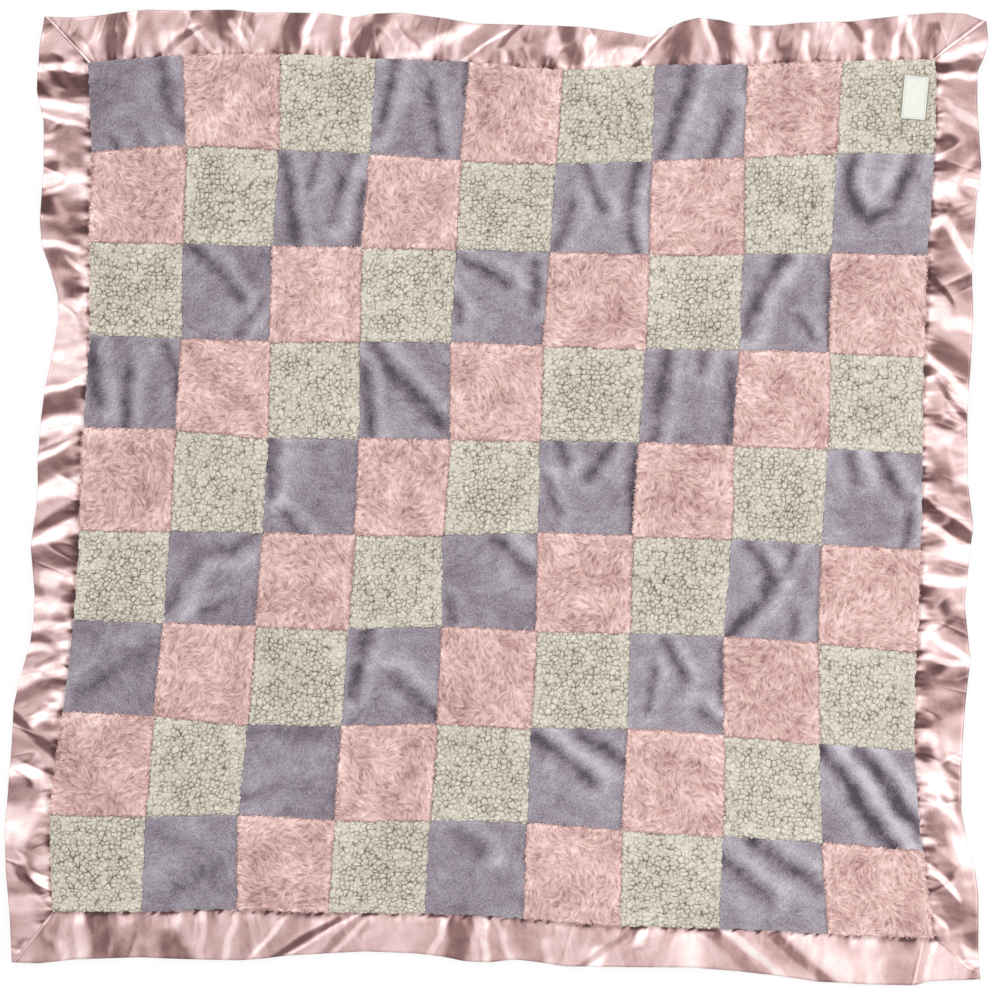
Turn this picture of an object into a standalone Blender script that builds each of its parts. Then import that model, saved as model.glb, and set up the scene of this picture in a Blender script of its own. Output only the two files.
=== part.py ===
"""Patchwork comfort blanket: nine by nine plush patches with a ruffled satin border and a plain label.

The blanket lies flat, face up, with its top edge towards +Y. Its top two and bottom two rows of patches
fold over onto the middle along two seams. Lengths are in metres. Places on the cloth are pixels of the
photograph, and PATCH_SIDE says how long PATCH_SIDE_PIXELS of them are.
"""

import math

import bpy
from mathutils import Vector

# Driving dimensions
PATCH_SIDE = 0.0762
PATCH_SIDE_PIXELS = 95.25
BORDER_WIDTH = 0.0381
BORDER_WIDTH_SHARE = 0.5
GAP = 0.0003
END_GAP_SHARE = 0.75

BACKING_THICK = 0.002
PILE_HEIGHTS = {"purple_velour": 0.0035, "pink_plush": 0.007, "cream_sherpa": 0.0055}
PILE_WALL_SHARE = 0.45
PILE_SHOULDER_SHARE = 0.85
PILE_SHOULDER_INSET = 0.0018
PILE_CROWN_INSET = 0.0055
JOINED_CORNER_CUT = 0.0016
OPEN_CORNER_CUT = 0.0026

SATIN_THICK = 0.0014
SATIN_SEAM_THICK = 0.0034
RUFFLE_HEIGHT = 0.007
RUFFLE_REST_DEPTH = 0.0005
RUFFLE_END_SHARE = 0.2
RUFFLE_ROW_SHARES = (0.0, 0.4, 1.0)
RUFFLE_RISE_SHARES = (0.3, 0.95, 0.9)
RUFFLE_SIZE_SHARES = (1.0, 0.66, 0.88, 0.55, 0.94, 0.74)
RUFFLE_ROUNDNESS = 0.8
RUFFLE_STEP_SHARE = 0.25
RUFFLE_SPACING_SHARE = 0.03

LABEL_WIDTH = 0.0192
LABEL_LENGTH = 0.0342
LABEL_THICK = 0.0006
LABEL_TILT_DEGREES = -5.3
STITCH_WIDTH = 0.0006
STITCH_HEIGHT = 0.0004
STITCH_INSET = 0.001

FOLD_AXIS_CLEARANCE = 0.001

# Seam crossings of the patches, row by row from the top left, in pixels of the photograph
CROSSING_X_PIXELS = (
    (88, 184, 280, 376, 470, 562, 654, 748, 841, 935),
    (92, 186, 279, 370, 461, 556, 652, 744, 836, 934),
    (90, 183, 273, 362, 456, 550, 649, 743, 831, 927),
    (90, 182, 270, 360, 451, 543, 645, 739, 829, 923),
    (84, 176, 268, 359, 450, 540, 639, 733, 827, 922),
    (80, 170, 263, 355, 443, 538, 632, 731, 822, 920),
    (74, 164, 256, 348, 442, 536, 630, 724, 818, 916),
    (63, 154, 248, 342, 437, 531, 627, 724, 819, 914),
    (51, 146, 239, 335, 430, 527, 622, 722, 822, 922),
    (53, 142, 238, 328, 425, 524, 619, 719, 828, 933),
)
CROSSING_Y_PIXELS = (
    (63, 56, 55, 59, 63, 70, 66, 65, 62, 60),
    (153, 146, 150, 155, 161, 164, 162, 158, 154, 155),
    (242, 244, 247, 248, 250, 253, 255, 255, 254, 256),
    (335, 339, 342, 342, 343, 346, 349, 351, 353, 357),
    (428, 430, 438, 439, 440, 441, 443, 446, 449, 454),
    (530, 531, 533, 535, 535, 533, 536, 539, 545, 550),
    (620, 623, 626, 629, 627, 631, 633, 637, 643, 652),
    (712, 716, 724, 726, 724, 728, 729, 735, 744, 751),
    (814, 816, 815, 820, 820, 823, 830, 836, 842, 851),
    (911, 911, 909, 912, 913, 918, 925, 928, 933, 938),
)
PATCHES = len(CROSSING_X_PIXELS) - 1

# Outer edge of the satin border, in pixels of the photograph, from corner to corner
TOP_EDGE_PIXELS = (
    (45, 17), (75, 18), (100, 16), (125, 12), (150, 10), (184, 11), (232, 10), (255, 13), (304, 13),
    (328, 14), (352, 18), (376, 14), (400, 13), (424, 16), (447, 19), (475, 24), (516, 25), (580, 27),
    (625, 33), (652, 38), (664, 31), (682, 22), (698, 18), (724, 21), (740, 26), (775, 26), (800, 23),
    (850, 22), (875, 19), (900, 16), (940, 13), (965, 14), (986, 22),
)
RIGHT_EDGE_PIXELS = (
    (986, 22), (988, 40), (984, 57), (977, 72), (977, 105), (979, 140), (981, 168), (976, 200),
    (974, 235), (971, 262), (973, 315), (970, 370), (967, 410), (967, 480), (973, 525), (969, 558),
    (964, 603), (970, 658), (965, 703), (961, 760), (961, 812), (968, 848), (975, 872), (978, 895),
    (978, 960), (980, 979),
)
BOTTOM_EDGE_PIXELS = (
    (12, 962), (40, 963), (75, 959), (140, 957), (190, 959), (240, 960), (265, 958), (290, 955),
    (365, 951), (415, 953), (442, 956), (465, 961), (490, 962), (515, 959), (540, 962), (565, 966),
    (650, 967), (690, 967), (740, 971), (790, 977), (815, 981), (865, 984), (915, 985), (928, 981),
    (950, 980), (980, 979),
)
LEFT_EDGE_PIXELS = (
    (45, 17), (40, 45), (37, 92), (44, 120), (44, 170), (40, 220), (42, 245), (51, 270), (58, 295),
    (59, 320), (54, 348), (46, 385), (41, 420), (38, 460), (38, 500), (31, 545), (35, 595), (34, 620),
    (30, 645), (22, 672), (14, 705), (12, 745), (8, 795), (5, 825), (6, 870), (10, 915), (12, 962),
)

# Crests of the ruffles, each from its place on the seam to its place on the outer edge, in pixels
TOP_CREST_PIXELS = (
    (95, 75), (122, 108), (150, 150), (182, 180), (214, 202), (240, 228), (262, 254), (284, 290),
    (310, 324), (336, 366), (372, 402), (404, 436), (438, 468), (470, 500), (502, 528), (530, 548),
    (556, 572), (584, 600), (612, 642), (650, 672), (690, 700), (726, 734), (756, 762), (786, 792),
    (816, 820), (846, 852), (876, 884), (902, 912), (924, 950),
)
RIGHT_CREST_PIXELS = (
    (76, 56), (98, 92), (122, 118), (146, 148), (172, 180), (200, 208), (226, 234), (254, 262),
    (288, 298), (316, 328), (342, 366), (368, 396), (396, 424), (422, 446), (446, 468), (472, 490),
    (500, 514), (524, 540), (550, 560), (584, 592), (612, 634), (644, 658), (682, 694), (724, 732),
    (754, 764), (790, 800), (820, 834), (850, 874), (882, 914), (912, 946),
)
BOTTOM_CREST_PIXELS = (
    (68, 42), (88, 72), (112, 118), (140, 146), (168, 170), (194, 200), (220, 222), (246, 238),
    (280, 256), (310, 274), (340, 296), (372, 334), (400, 376), (424, 412), (446, 440), (472, 480),
    (496, 502), (522, 524), (550, 552), (582, 580), (614, 604), (644, 630), (676, 664), (702, 700),
    (730, 738), (758, 782), (788, 816), (826, 846), (864, 870), (896, 892),
)
LEFT_CREST_PIXELS = (
    (76, 52), (98, 88), (118, 114), (148, 148), (182, 178), (212, 206), (232, 228), (252, 250),
    (272, 272), (302, 306), (342, 340), (384, 374), (404, 404), (428, 430), (450, 456), (478, 484),
    (506, 516), (530, 540), (556, 556), (580, 580), (604, 606), (628, 634), (650, 656), (672, 682),
    (698, 712), (732, 736), (764, 764), (792, 792), (820, 820), (846, 840), (872, 862), (896, 900),
)

# The last run of the bottom border is a short closing piece past a slanting join
CLOSING_JOIN_SEAM_PIXELS = 926
CLOSING_JOIN_EDGE_PIXELS = 915

LABEL_CENTRE_PIXELS = (914, 98.5)

# The two seams that the blanket folds along, left end and right end
ROWS_ABOVE_TOP_FOLD = 2
ROWS_ABOVE_BOTTOM_FOLD = 7
TOP_FOLD_LINE_PIXELS = ((41, 240.5), (972, 257))
BOTTOM_FOLD_LINE_PIXELS = ((13, 716), (962, 746))

# Rows of patches in each band, the body that carries it, and the fabrics' order across a row
BAND_ROWS = {"top": (0, 2), "upper": (2, 5), "lower": (5, 7), "bottom": (7, 9)}
BAND_CARRIERS = {"top": "top_flap", "upper": "centre", "lower": "centre", "bottom": "bottom_flap"}
FABRICS = ("purple_velour", "pink_plush", "cream_sherpa")

COLOURS = {
    "purple_velour": (0.262, 0.216, 0.283),
    "pink_plush": (0.752, 0.418, 0.407),
    "cream_sherpa": (0.604, 0.578, 0.456),
    "satin": (0.680, 0.429, 0.429),
    "backing": (0.680, 0.620, 0.540),
    "label": (0.80, 0.80, 0.74),
}
ROUGHNESS_SHARES = {
    "purple_velour": 0.9,
    "pink_plush": 0.95,
    "cream_sherpa": 0.95,
    "satin": 0.28,
    "backing": 0.9,
    "label": 0.6,
}

# Sizes worked out from the driving dimensions
PIXEL = PATCH_SIDE / PATCH_SIDE_PIXELS
END_GAP_PIXELS = END_GAP_SHARE * GAP / PIXEL
BORDER_STRETCH = BORDER_WIDTH / (PATCH_SIDE * BORDER_WIDTH_SHARE)
PATCH_FOOT = BACKING_THICK + GAP
HIGHEST_PILE = PATCH_FOOT + max(PILE_HEIGHTS.values())
LABEL_FOOT = PATCH_FOOT + PILE_HEIGHTS["cream_sherpa"] + GAP
STITCH_FOOT = LABEL_FOOT + LABEL_THICK + GAP
FOLD_AXIS_HEIGHT = FOLD_AXIS_CLEARANCE + max(
    HIGHEST_PILE, STITCH_FOOT + STITCH_HEIGHT, SATIN_THICK + RUFFLE_HEIGHT
)


def clear_scene():
    for old in list(bpy.context.scene.objects):
        bpy.data.objects.remove(old, do_unlink=True)


def on_cloth(pixel, height=0.0):
    """A pixel of the photograph as a point, with the photograph's top towards +Y."""
    return Vector((pixel[0] * PIXEL, -pixel[1] * PIXEL, height))


def crossing(row, column):
    return on_cloth((CROSSING_X_PIXELS[row][column], CROSSING_Y_PIXELS[row][column]))


def lifted(point, height):
    return Vector((point.x, point.y, height))


def fabric_material(name):
    material = bpy.data.materials.new(name)
    material.use_nodes = True
    shader = material.node_tree.nodes["Principled BSDF"]
    shader.inputs["Base Color"].default_value = (*COLOURS[name], 1)
    shader.inputs["Roughness"].default_value = ROUGHNESS_SHARES[name]
    shader.inputs["Metallic"].default_value = 0
    return material


def add_solid(name, points, faces, material, parent, smooth_degrees=40):
    """One closed solid with its origin at the middle of its points."""
    centre = sum(points, Vector()) / len(points)
    mesh = bpy.data.meshes.new(name)
    mesh.from_pydata([point - centre for point in points], [], faces)
    mesh.validate()
    mesh.shade_smooth()
    mesh.set_sharp_from_angle(angle=math.radians(smooth_degrees))
    mesh.materials.append(material)
    solid = bpy.data.objects.new(name, mesh)
    bpy.context.collection.objects.link(solid)
    solid.parent = parent
    solid.matrix_parent_inverse = parent.matrix_world.inverted()
    solid.location = centre
    return solid


def add_sheet_solid(name, upper, lower, material, parent):
    """A closed solid between two grids of points, one above the other."""
    rows, columns = len(upper), len(upper[0])
    points = [point for row in upper for point in row] + [point for row in lower for point in row]

    def top(row, column):
        return row * columns + column

    def under(row, column):
        return rows * columns + row * columns + column

    faces = []
    for row in range(rows - 1):
        for column in range(columns - 1):
            square = ((row, column), (row + 1, column), (row + 1, column + 1), (row, column + 1))
            faces.append([top(*corner) for corner in square])
            faces.append([under(*corner) for corner in reversed(square)])
    rim = [(row, 0) for row in range(rows - 1)]
    rim += [(rows - 1, column) for column in range(columns - 1)]
    rim += [(row, columns - 1) for row in range(rows - 1, 0, -1)]
    rim += [(0, column) for column in range(columns - 1, 0, -1)]
    for here, there in zip(rim, rim[1:] + rim[:1]):
        faces.append([top(*there), top(*here), under(*here), under(*there)])
    if facing_down(upper):
        faces = [list(reversed(face)) for face in faces]
    return add_solid(name, points, faces, material, parent)


def facing_down(grid):
    """Whether a grid's rows and columns turn clockwise seen from above."""
    along = grid[-1][0] - grid[0][0]
    across = grid[0][-1] - grid[0][0]
    return along.cross(across).z < 0


# Patches

# Sides of a patch's outline that lie across its lower left and its upper right corner
JOINING_SIDE_DOWN = 0
JOINING_SIDE_UP = 4


def patch_outline(row, column):
    """The eight corners of a patch, counter-clockwise from above, with every corner cut off."""
    corners = [
        crossing(row + 1, column),
        crossing(row + 1, column + 1),
        crossing(row, column + 1),
        crossing(row, column),
    ]
    cuts = (JOINED_CORNER_CUT, OPEN_CORNER_CUT) * 2
    outline = []
    for index, corner in enumerate(corners):
        to_last = (corners[index - 1] - corner).normalized()
        to_next = (corners[(index + 1) % len(corners)] - corner).normalized()
        inner = corner + (to_last + to_next) * GAP / 2
        outline.append(inner + to_last * cuts[index])
        outline.append(inner + to_next * cuts[index])
    return outline


def patch_rings(row, column, fabric):
    """Rings of a patch from its foot to its crown."""
    outline = patch_outline(row, column)
    centre = sum(outline, Vector()) / len(outline)
    pile = PILE_HEIGHTS[fabric]
    levels = (
        (0.0, 0.0),
        (0.0, PILE_WALL_SHARE),
        (PILE_SHOULDER_INSET, PILE_SHOULDER_SHARE),
        (PILE_CROWN_INSET, 1.0),
    )
    rings = []
    for inset, share in levels:
        keep = 1 - inset / (PATCH_SIDE / 2)
        height = PATCH_FOOT + pile * share
        rings.append([lifted(centre + (point - centre) * keep, height) for point in outline])
    return rings


def add_patch_run(name, places, fabric, material, parent):
    """Patches of one fabric, each touching the next at a seam crossing, as one solid."""
    points, faces = [], []
    for number, (row, column) in enumerate(places):
        rings = patch_rings(row, column, fabric)
        sides = len(rings[0])
        start = len(points)
        for ring in rings:
            points.extend(ring)
        for level in range(len(rings) - 1):
            for side in range(sides):
                joins_last = number > 0 and side == JOINING_SIDE_UP
                joins_next = number < len(places) - 1 and side == JOINING_SIDE_DOWN
                if level == 0 and (joins_last or joins_next):
                    continue
                low = start + level * sides
                after = (side + 1) % sides
                faces.append([low + side, low + after, low + sides + after, low + sides + side])
        faces.append(list(range(start, start + sides))[::-1])
        faces.append(list(range(start + (len(rings) - 1) * sides, start + len(rings) * sides)))
        if number > 0:
            faces.extend(bridge_faces(start - len(rings) * sides, start, sides))
    return add_solid(name, points, faces, material, parent)


def bridge_faces(upper_start, lower_start, sides):
    """Four faces that join an upper patch's lower left corner to a lower patch's upper right corner."""
    a, b = upper_start + JOINING_SIDE_DOWN, upper_start + JOINING_SIDE_DOWN + 1
    c, d = lower_start + JOINING_SIDE_UP, lower_start + JOINING_SIDE_UP + 1
    foot = [a, b, c, d]
    wall = [index + sides for index in foot]
    return [
        [a, d, wall[3], wall[0]],
        [c, b, wall[1], wall[2]],
        wall[::-1],
        foot,
    ]


def patch_runs(first_row, end_row):
    """The runs of one fabric that go down to the left within a band, as lists of places."""
    runs = []
    for total in range(first_row, end_row + PATCHES - 1):
        places = [(row, total - row) for row in range(first_row, end_row) if 0 <= total - row < PATCHES]
        runs.append(places)
    return runs


def add_patches(materials, carriers):
    for band, (first_row, end_row) in BAND_ROWS.items():
        counts = dict.fromkeys(FABRICS, 0)
        for places in patch_runs(first_row, end_row):
            fabric = FABRICS[sum(places[0]) % len(FABRICS)]
            counts[fabric] += 1
            name = f"{fabric}_patches_{band}_{counts[fabric]}"
            add_patch_run(name, places, fabric, materials[fabric], carriers[BAND_CARRIERS[band]])


# Backing

def add_backing(name, first_row, end_row, material, parent):
    """The plain cloth under the patches from one row seam to another."""
    columns = range(PATCHES + 1)
    grid = [[crossing(row, column) for column in columns] for row in range(first_row, end_row + 1)]
    trimmed = [list(row) for row in grid]
    for edge, inside in ((0, 1), (-1, -2)):
        for column in columns:
            trimmed[edge][column] = moved_towards(grid[edge][column], grid[inside][column], GAP / 2)
    for row in trimmed:
        row[0] = moved_towards(row[0], row[1], GAP / 2)
        row[-1] = moved_towards(row[-1], row[-2], GAP / 2)
    upper = [[lifted(point, BACKING_THICK) for point in row] for row in trimmed]
    lower = [[lifted(point, 0.0) for point in row] for row in trimmed]
    add_sheet_solid(name, upper, lower, material, parent)


def moved_towards(point, target, distance):
    return point + (target - point).normalized() * distance


# Satin border

def between(table, place):
    """The second value of a table of pairs at a place among its first values."""
    if place <= table[0][0]:
        return table[0][1]
    for (here, low), (there, high) in zip(table, table[1:]):
        if place <= there:
            return low + (high - low) * (place - here) / (there - here)
    return table[-1][1]


class BorderSide:
    """One side of the border, whose run is measured along the photograph's x or y in pixels."""

    def __init__(self, seam, edge, crests, runs_down):
        self.seam = [(y, x) for x, y in seam] if runs_down else seam
        self.edge = [(y, x) for x, y in edge] if runs_down else edge
        self.runs_down = runs_down
        self.crests = crests

    def point(self, table, place):
        across = between(table, place)
        return on_cloth((across, place) if self.runs_down else (place, across))

    def columns(self, start, end):
        """Lines across the border from (seam, edge) start to end, each with its height share."""
        lines = [(*start, RUFFLE_END_SHARE)]
        steps = round(1 / RUFFLE_STEP_SHARE)
        for index, crest in enumerate(self.crests):
            last = self.crests[max(index - 1, 0)]
            size = RUFFLE_SIZE_SHARES[index % len(RUFFLE_SIZE_SHARES)]
            last_size = RUFFLE_SIZE_SHARES[(index - 1) % len(RUFFLE_SIZE_SHARES)]
            for step in range(1, steps + 1):
                share = step * RUFFLE_STEP_SHARE
                if index == 0 and share < 1:
                    continue
                seam_place = last[0] + (crest[0] - last[0]) * share
                edge_place = last[1] + (crest[1] - last[1]) * share
                rise = (0.5 + 0.5 * math.cos(2 * math.pi * share)) ** RUFFLE_ROUNDNESS
                lines.append((seam_place, edge_place, rise * (size if share > 0.5 else last_size)))
        lines.append((*end, RUFFLE_END_SHARE))
        margin = RUFFLE_SPACING_SHARE * PATCH_SIDE_PIXELS
        inside = [
            line for line in lines[1:-1]
            if all(start[end_of] + margin < line[end_of] < end[end_of] - margin for end_of in (0, 1))
        ]
        return [lines[0], *inside, lines[-1]]


def add_border(name, side, start, end, material, parent):
    """A run of folded satin, pinched at the seam and ruffled towards its outer edge."""
    start = (start[0] + END_GAP_PIXELS, start[1] + END_GAP_PIXELS)
    end = (end[0] - END_GAP_PIXELS, end[1] - END_GAP_PIXELS)
    upper, lower = [], []
    for seam_place, edge_place, share in side.columns(start, end):
        seam = side.point(side.seam, seam_place)
        edge = seam + (side.point(side.edge, edge_place) - seam) * BORDER_STRETCH
        seam = moved_towards(seam, edge, GAP / 2)
        upper.append([])
        lower.append([])
        for across, rise in zip(RUFFLE_ROW_SHARES, RUFFLE_RISE_SHARES):
            place = seam.lerp(edge, across)
            lift = RUFFLE_HEIGHT * rise * share
            thick = SATIN_SEAM_THICK if across == 0 else SATIN_THICK
            upper[-1].append(lifted(place, thick + lift))
            lower[-1].append(lifted(place, max(0.0, lift - RUFFLE_REST_DEPTH) if across > 0 else 0.0))
    add_sheet_solid(name, upper, lower, material, parent)


def seam_row(row):
    return list(zip(CROSSING_X_PIXELS[row], CROSSING_Y_PIXELS[row]))


def seam_column(column):
    return [(xs[column], ys[column]) for xs, ys in zip(CROSSING_X_PIXELS, CROSSING_Y_PIXELS)]


def add_borders(material, carriers):
    top = BorderSide(seam_row(0), TOP_EDGE_PIXELS, TOP_CREST_PIXELS, False)
    bottom = BorderSide(seam_row(PATCHES), BOTTOM_EDGE_PIXELS, BOTTOM_CREST_PIXELS, False)
    left = BorderSide(seam_column(0), LEFT_EDGE_PIXELS, LEFT_CREST_PIXELS, True)
    right = BorderSide(seam_column(PATCHES), RIGHT_EDGE_PIXELS, RIGHT_CREST_PIXELS, True)

    def ends(side):
        return (side.seam[0][0], side.edge[0][0]), (side.seam[-1][0], side.edge[-1][0])

    start, end = ends(top)
    add_border("satin_border_top", top, start, end, material, carriers["top_flap"])
    start, end = ends(bottom)
    join = (CLOSING_JOIN_SEAM_PIXELS, CLOSING_JOIN_EDGE_PIXELS)
    add_border("satin_border_bottom", bottom, start, join, material, carriers["bottom_flap"])
    add_border("satin_border_closing_piece", bottom, join, end, material, carriers["bottom_flap"])
    for word, side, line_end in (("left", left, 0), ("right", right, 1)):
        start, end = ends(side)
        upper_split = (side.seam[ROWS_ABOVE_TOP_FOLD][0], TOP_FOLD_LINE_PIXELS[line_end][1])
        lower_split = (side.seam[ROWS_ABOVE_BOTTOM_FOLD][0], BOTTOM_FOLD_LINE_PIXELS[line_end][1])
        for part, part_start, part_end, body in (
            ("upper", start, upper_split, "top_flap"),
            ("middle", upper_split, lower_split, "centre"),
            ("lower", lower_split, end, "bottom_flap"),
        ):
            name = f"satin_border_{word}_{part}"
            add_border(name, side, part_start, part_end, material, carriers[body])


# Label

def label_point(along_width, along_length, height):
    """A point of the label from its middle, with its tilt."""
    turn = math.radians(LABEL_TILT_DEGREES)
    centre = on_cloth(LABEL_CENTRE_PIXELS)
    x = centre.x + along_width * math.cos(turn) - along_length * math.sin(turn)
    y = centre.y + along_width * math.sin(turn) + along_length * math.cos(turn)
    return Vector((x, y, height))


def add_label(material, parent):
    half_width, half_length = LABEL_WIDTH / 2, LABEL_LENGTH / 2

    def sheet(height):
        ends = (half_length, -half_length)
        return [[label_point(x, y, height) for y in ends] for x in (-half_width, half_width)]

    add_sheet_solid("label", sheet(LABEL_FOOT + LABEL_THICK), sheet(LABEL_FOOT), material, parent)


def add_label_stitching(material, parent):
    """A line of stitching all round the label, just inside its edge."""
    points, faces = [], []
    for height in (STITCH_FOOT, STITCH_FOOT + STITCH_HEIGHT):
        for inset in (STITCH_INSET, STITCH_INSET + STITCH_WIDTH):
            half_width, half_length = LABEL_WIDTH / 2 - inset, LABEL_LENGTH / 2 - inset
            for x_sign, y_sign in ((-1, -1), (1, -1), (1, 1), (-1, 1)):
                points.append(label_point(x_sign * half_width, y_sign * half_length, height))
    sides = 4
    low_outer, low_inner, high_outer, high_inner = (sides * ring for ring in range(sides))
    for side in range(sides):
        after = (side + 1) % sides
        faces.append([low_outer + side, low_outer + after, high_outer + after, high_outer + side])
        faces.append([high_outer + side, high_outer + after, high_inner + after, high_inner + side])
        faces.append([high_inner + side, high_inner + after, low_inner + after, low_inner + side])
        faces.append([low_inner + side, low_inner + after, low_outer + after, low_outer + side])
    add_solid("label_stitching", points, faces, material, parent)


# Assembly

def add_carrier(name, line=None, parent=None):
    """An empty that carries a body. One with a fold line stands on its axis and turns about its own X."""
    carrier = bpy.data.objects.new(name, None)
    bpy.context.collection.objects.link(carrier)
    carrier.parent = parent
    if line:
        start, end = (on_cloth(pixel, FOLD_AXIS_HEIGHT) for pixel in line)
        carrier.location = (start + end) / 2
        carrier.rotation_euler.z = math.atan2(end.y - start.y, end.x - start.x)
    bpy.context.view_layer.update()
    return carrier


def centre_on_origin(root):
    """Moves the blanket so that the middle of its box stands over the origin."""
    bpy.context.view_layer.update()
    corners = [
        solid.matrix_world @ Vector(corner)
        for solid in bpy.context.scene.objects if solid.type == "MESH"
        for corner in solid.bound_box
    ]
    for axis in range(2):
        values = [corner[axis] for corner in corners]
        root.location[axis] = -(min(values) + max(values)) / 2
    bpy.context.view_layer.update()


def build():
    clear_scene()
    materials = {name: fabric_material(name) for name in COLOURS}
    root = add_carrier("blanket")
    carriers = {
        "centre": root,
        "top_flap": add_carrier("top_fold_axis", TOP_FOLD_LINE_PIXELS, root),
        "bottom_flap": add_carrier("bottom_fold_axis", BOTTOM_FOLD_LINE_PIXELS, root),
    }
    add_patches(materials, carriers)
    top_fold, bottom_fold = ROWS_ABOVE_TOP_FOLD, ROWS_ABOVE_BOTTOM_FOLD
    add_backing("backing_top", 0, top_fold, materials["backing"], carriers["top_flap"])
    add_backing("backing_middle", top_fold, bottom_fold, materials["backing"], carriers["centre"])
    add_backing("backing_bottom", bottom_fold, PATCHES, materials["backing"], carriers["bottom_flap"])
    add_borders(materials["satin"], carriers)
    add_label(materials["label"], carriers["top_flap"])
    add_label_stitching(materials["label"], carriers["top_flap"])
    centre_on_origin(root)


build()
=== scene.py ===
"""Dresses the patchwork comfort blanket: velour, plush and sherpa patches, ruffled satin border and a label.

Lengths are in metres. Places on the cloth are pixels of the photograph, as in the part's source.
"""

import math

import bpy
import numpy as np
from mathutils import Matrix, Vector


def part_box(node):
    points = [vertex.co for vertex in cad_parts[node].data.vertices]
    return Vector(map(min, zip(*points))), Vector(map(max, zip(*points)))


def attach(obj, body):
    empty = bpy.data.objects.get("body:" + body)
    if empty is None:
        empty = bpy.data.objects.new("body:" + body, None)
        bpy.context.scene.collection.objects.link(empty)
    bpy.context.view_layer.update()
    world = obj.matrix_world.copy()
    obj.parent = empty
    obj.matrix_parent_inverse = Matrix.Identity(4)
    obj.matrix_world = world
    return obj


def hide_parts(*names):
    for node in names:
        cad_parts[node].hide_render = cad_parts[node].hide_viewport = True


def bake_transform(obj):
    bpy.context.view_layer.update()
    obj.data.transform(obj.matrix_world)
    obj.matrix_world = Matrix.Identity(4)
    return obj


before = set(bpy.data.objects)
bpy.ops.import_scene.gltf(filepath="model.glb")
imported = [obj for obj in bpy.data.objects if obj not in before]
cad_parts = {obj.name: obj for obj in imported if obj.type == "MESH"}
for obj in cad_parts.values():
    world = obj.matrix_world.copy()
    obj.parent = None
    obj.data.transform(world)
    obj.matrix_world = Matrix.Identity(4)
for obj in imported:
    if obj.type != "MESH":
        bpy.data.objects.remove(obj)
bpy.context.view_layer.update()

# Sizes that part.py has too
PATCH_SIDE = 0.0762
PIXEL = PATCH_SIDE / 95.25
BACKING_THICK = 0.002
PATCH_FOOT = 0.0023
PILE_HEIGHTS = {"purple_velour": 0.0035, "pink_plush": 0.007, "cream_sherpa": 0.0055}
FABRICS = ("purple_velour", "pink_plush", "cream_sherpa")
ROWS_ABOVE_TOP_FOLD = 2
ROWS_ABOVE_BOTTOM_FOLD = 7
BAND_ROWS = {"top": (0, 2), "upper": (2, 5), "lower": (5, 7), "bottom": (7, 9)}
LABEL_CENTRE_PIXELS = (914, 98.5)
LABEL_WIDTH = 0.0192
LABEL_LENGTH = 0.0342
LABEL_TILT_DEGREES = -5.3
CLOSING_JOIN_SEAM_PIXELS = 926
CLOSING_JOIN_EDGE_PIXELS = 915

# Rows of patches where the backing and the side borders are split in the scene
UPPER_SPLIT_ROW = 4
LOWER_SPLIT_ROW = 5

# Seam crossings of the patches, row by row from the top left, in pixels of the photograph
CROSSING_X_PIXELS = (
    (88, 184, 280, 376, 470, 562, 654, 748, 841, 935),
    (92, 186, 279, 370, 461, 556, 652, 744, 836, 934),
    (90, 183, 273, 362, 456, 550, 649, 743, 831, 927),
    (90, 182, 270, 360, 451, 543, 645, 739, 829, 923),
    (84, 176, 268, 359, 450, 540, 639, 733, 827, 922),
    (80, 170, 263, 355, 443, 538, 632, 731, 822, 920),
    (74, 164, 256, 348, 442, 536, 630, 724, 818, 916),
    (63, 154, 248, 342, 437, 531, 627, 724, 819, 914),
    (51, 146, 239, 335, 430, 527, 622, 722, 822, 922),
    (53, 142, 238, 328, 425, 524, 619, 719, 828, 933),
)
CROSSING_Y_PIXELS = (
    (63, 56, 55, 59, 63, 70, 66, 65, 62, 60),
    (153, 146, 150, 155, 161, 164, 162, 158, 154, 155),
    (242, 244, 247, 248, 250, 253, 255, 255, 254, 256),
    (335, 339, 342, 342, 343, 346, 349, 351, 353, 357),
    (428, 430, 438, 439, 440, 441, 443, 446, 449, 454),
    (530, 531, 533, 535, 535, 533, 536, 539, 545, 550),
    (620, 623, 626, 629, 627, 631, 633, 637, 643, 652),
    (712, 716, 724, 726, 724, 728, 729, 735, 744, 751),
    (814, 816, 815, 820, 820, 823, 830, 836, 842, 851),
    (911, 911, 909, 912, 913, 918, 925, 928, 933, 938),
)

# Outer edge of the satin border, in pixels of the photograph, from corner to corner
TOP_EDGE_PIXELS = (
    (45, 17), (75, 18), (100, 16), (125, 12), (150, 10), (184, 11), (232, 10), (255, 13), (304, 13),
    (328, 14), (352, 18), (376, 14), (400, 13), (424, 16), (447, 19), (475, 24), (516, 25), (580, 27),
    (625, 33), (652, 38), (664, 31), (682, 22), (698, 18), (724, 21), (740, 26), (775, 26), (800, 23),
    (850, 22), (875, 19), (900, 16), (940, 13), (965, 14), (986, 22),
)
RIGHT_EDGE_PIXELS = (
    (986, 22), (988, 40), (984, 57), (977, 72), (977, 105), (979, 140), (981, 168), (976, 200),
    (974, 235), (971, 262), (973, 315), (970, 370), (967, 410), (967, 480), (973, 525), (969, 558),
    (964, 603), (970, 658), (965, 703), (961, 760), (961, 812), (968, 848), (975, 872), (978, 895),
    (978, 960), (980, 979),
)
BOTTOM_EDGE_PIXELS = (
    (12, 962), (40, 963), (75, 959), (140, 957), (190, 959), (240, 960), (265, 958), (290, 955),
    (365, 951), (415, 953), (442, 956), (465, 961), (490, 962), (515, 959), (540, 962), (565, 966),
    (650, 967), (690, 967), (740, 971), (790, 977), (815, 981), (865, 984), (915, 985), (928, 981),
    (950, 980), (980, 979),
)
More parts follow.
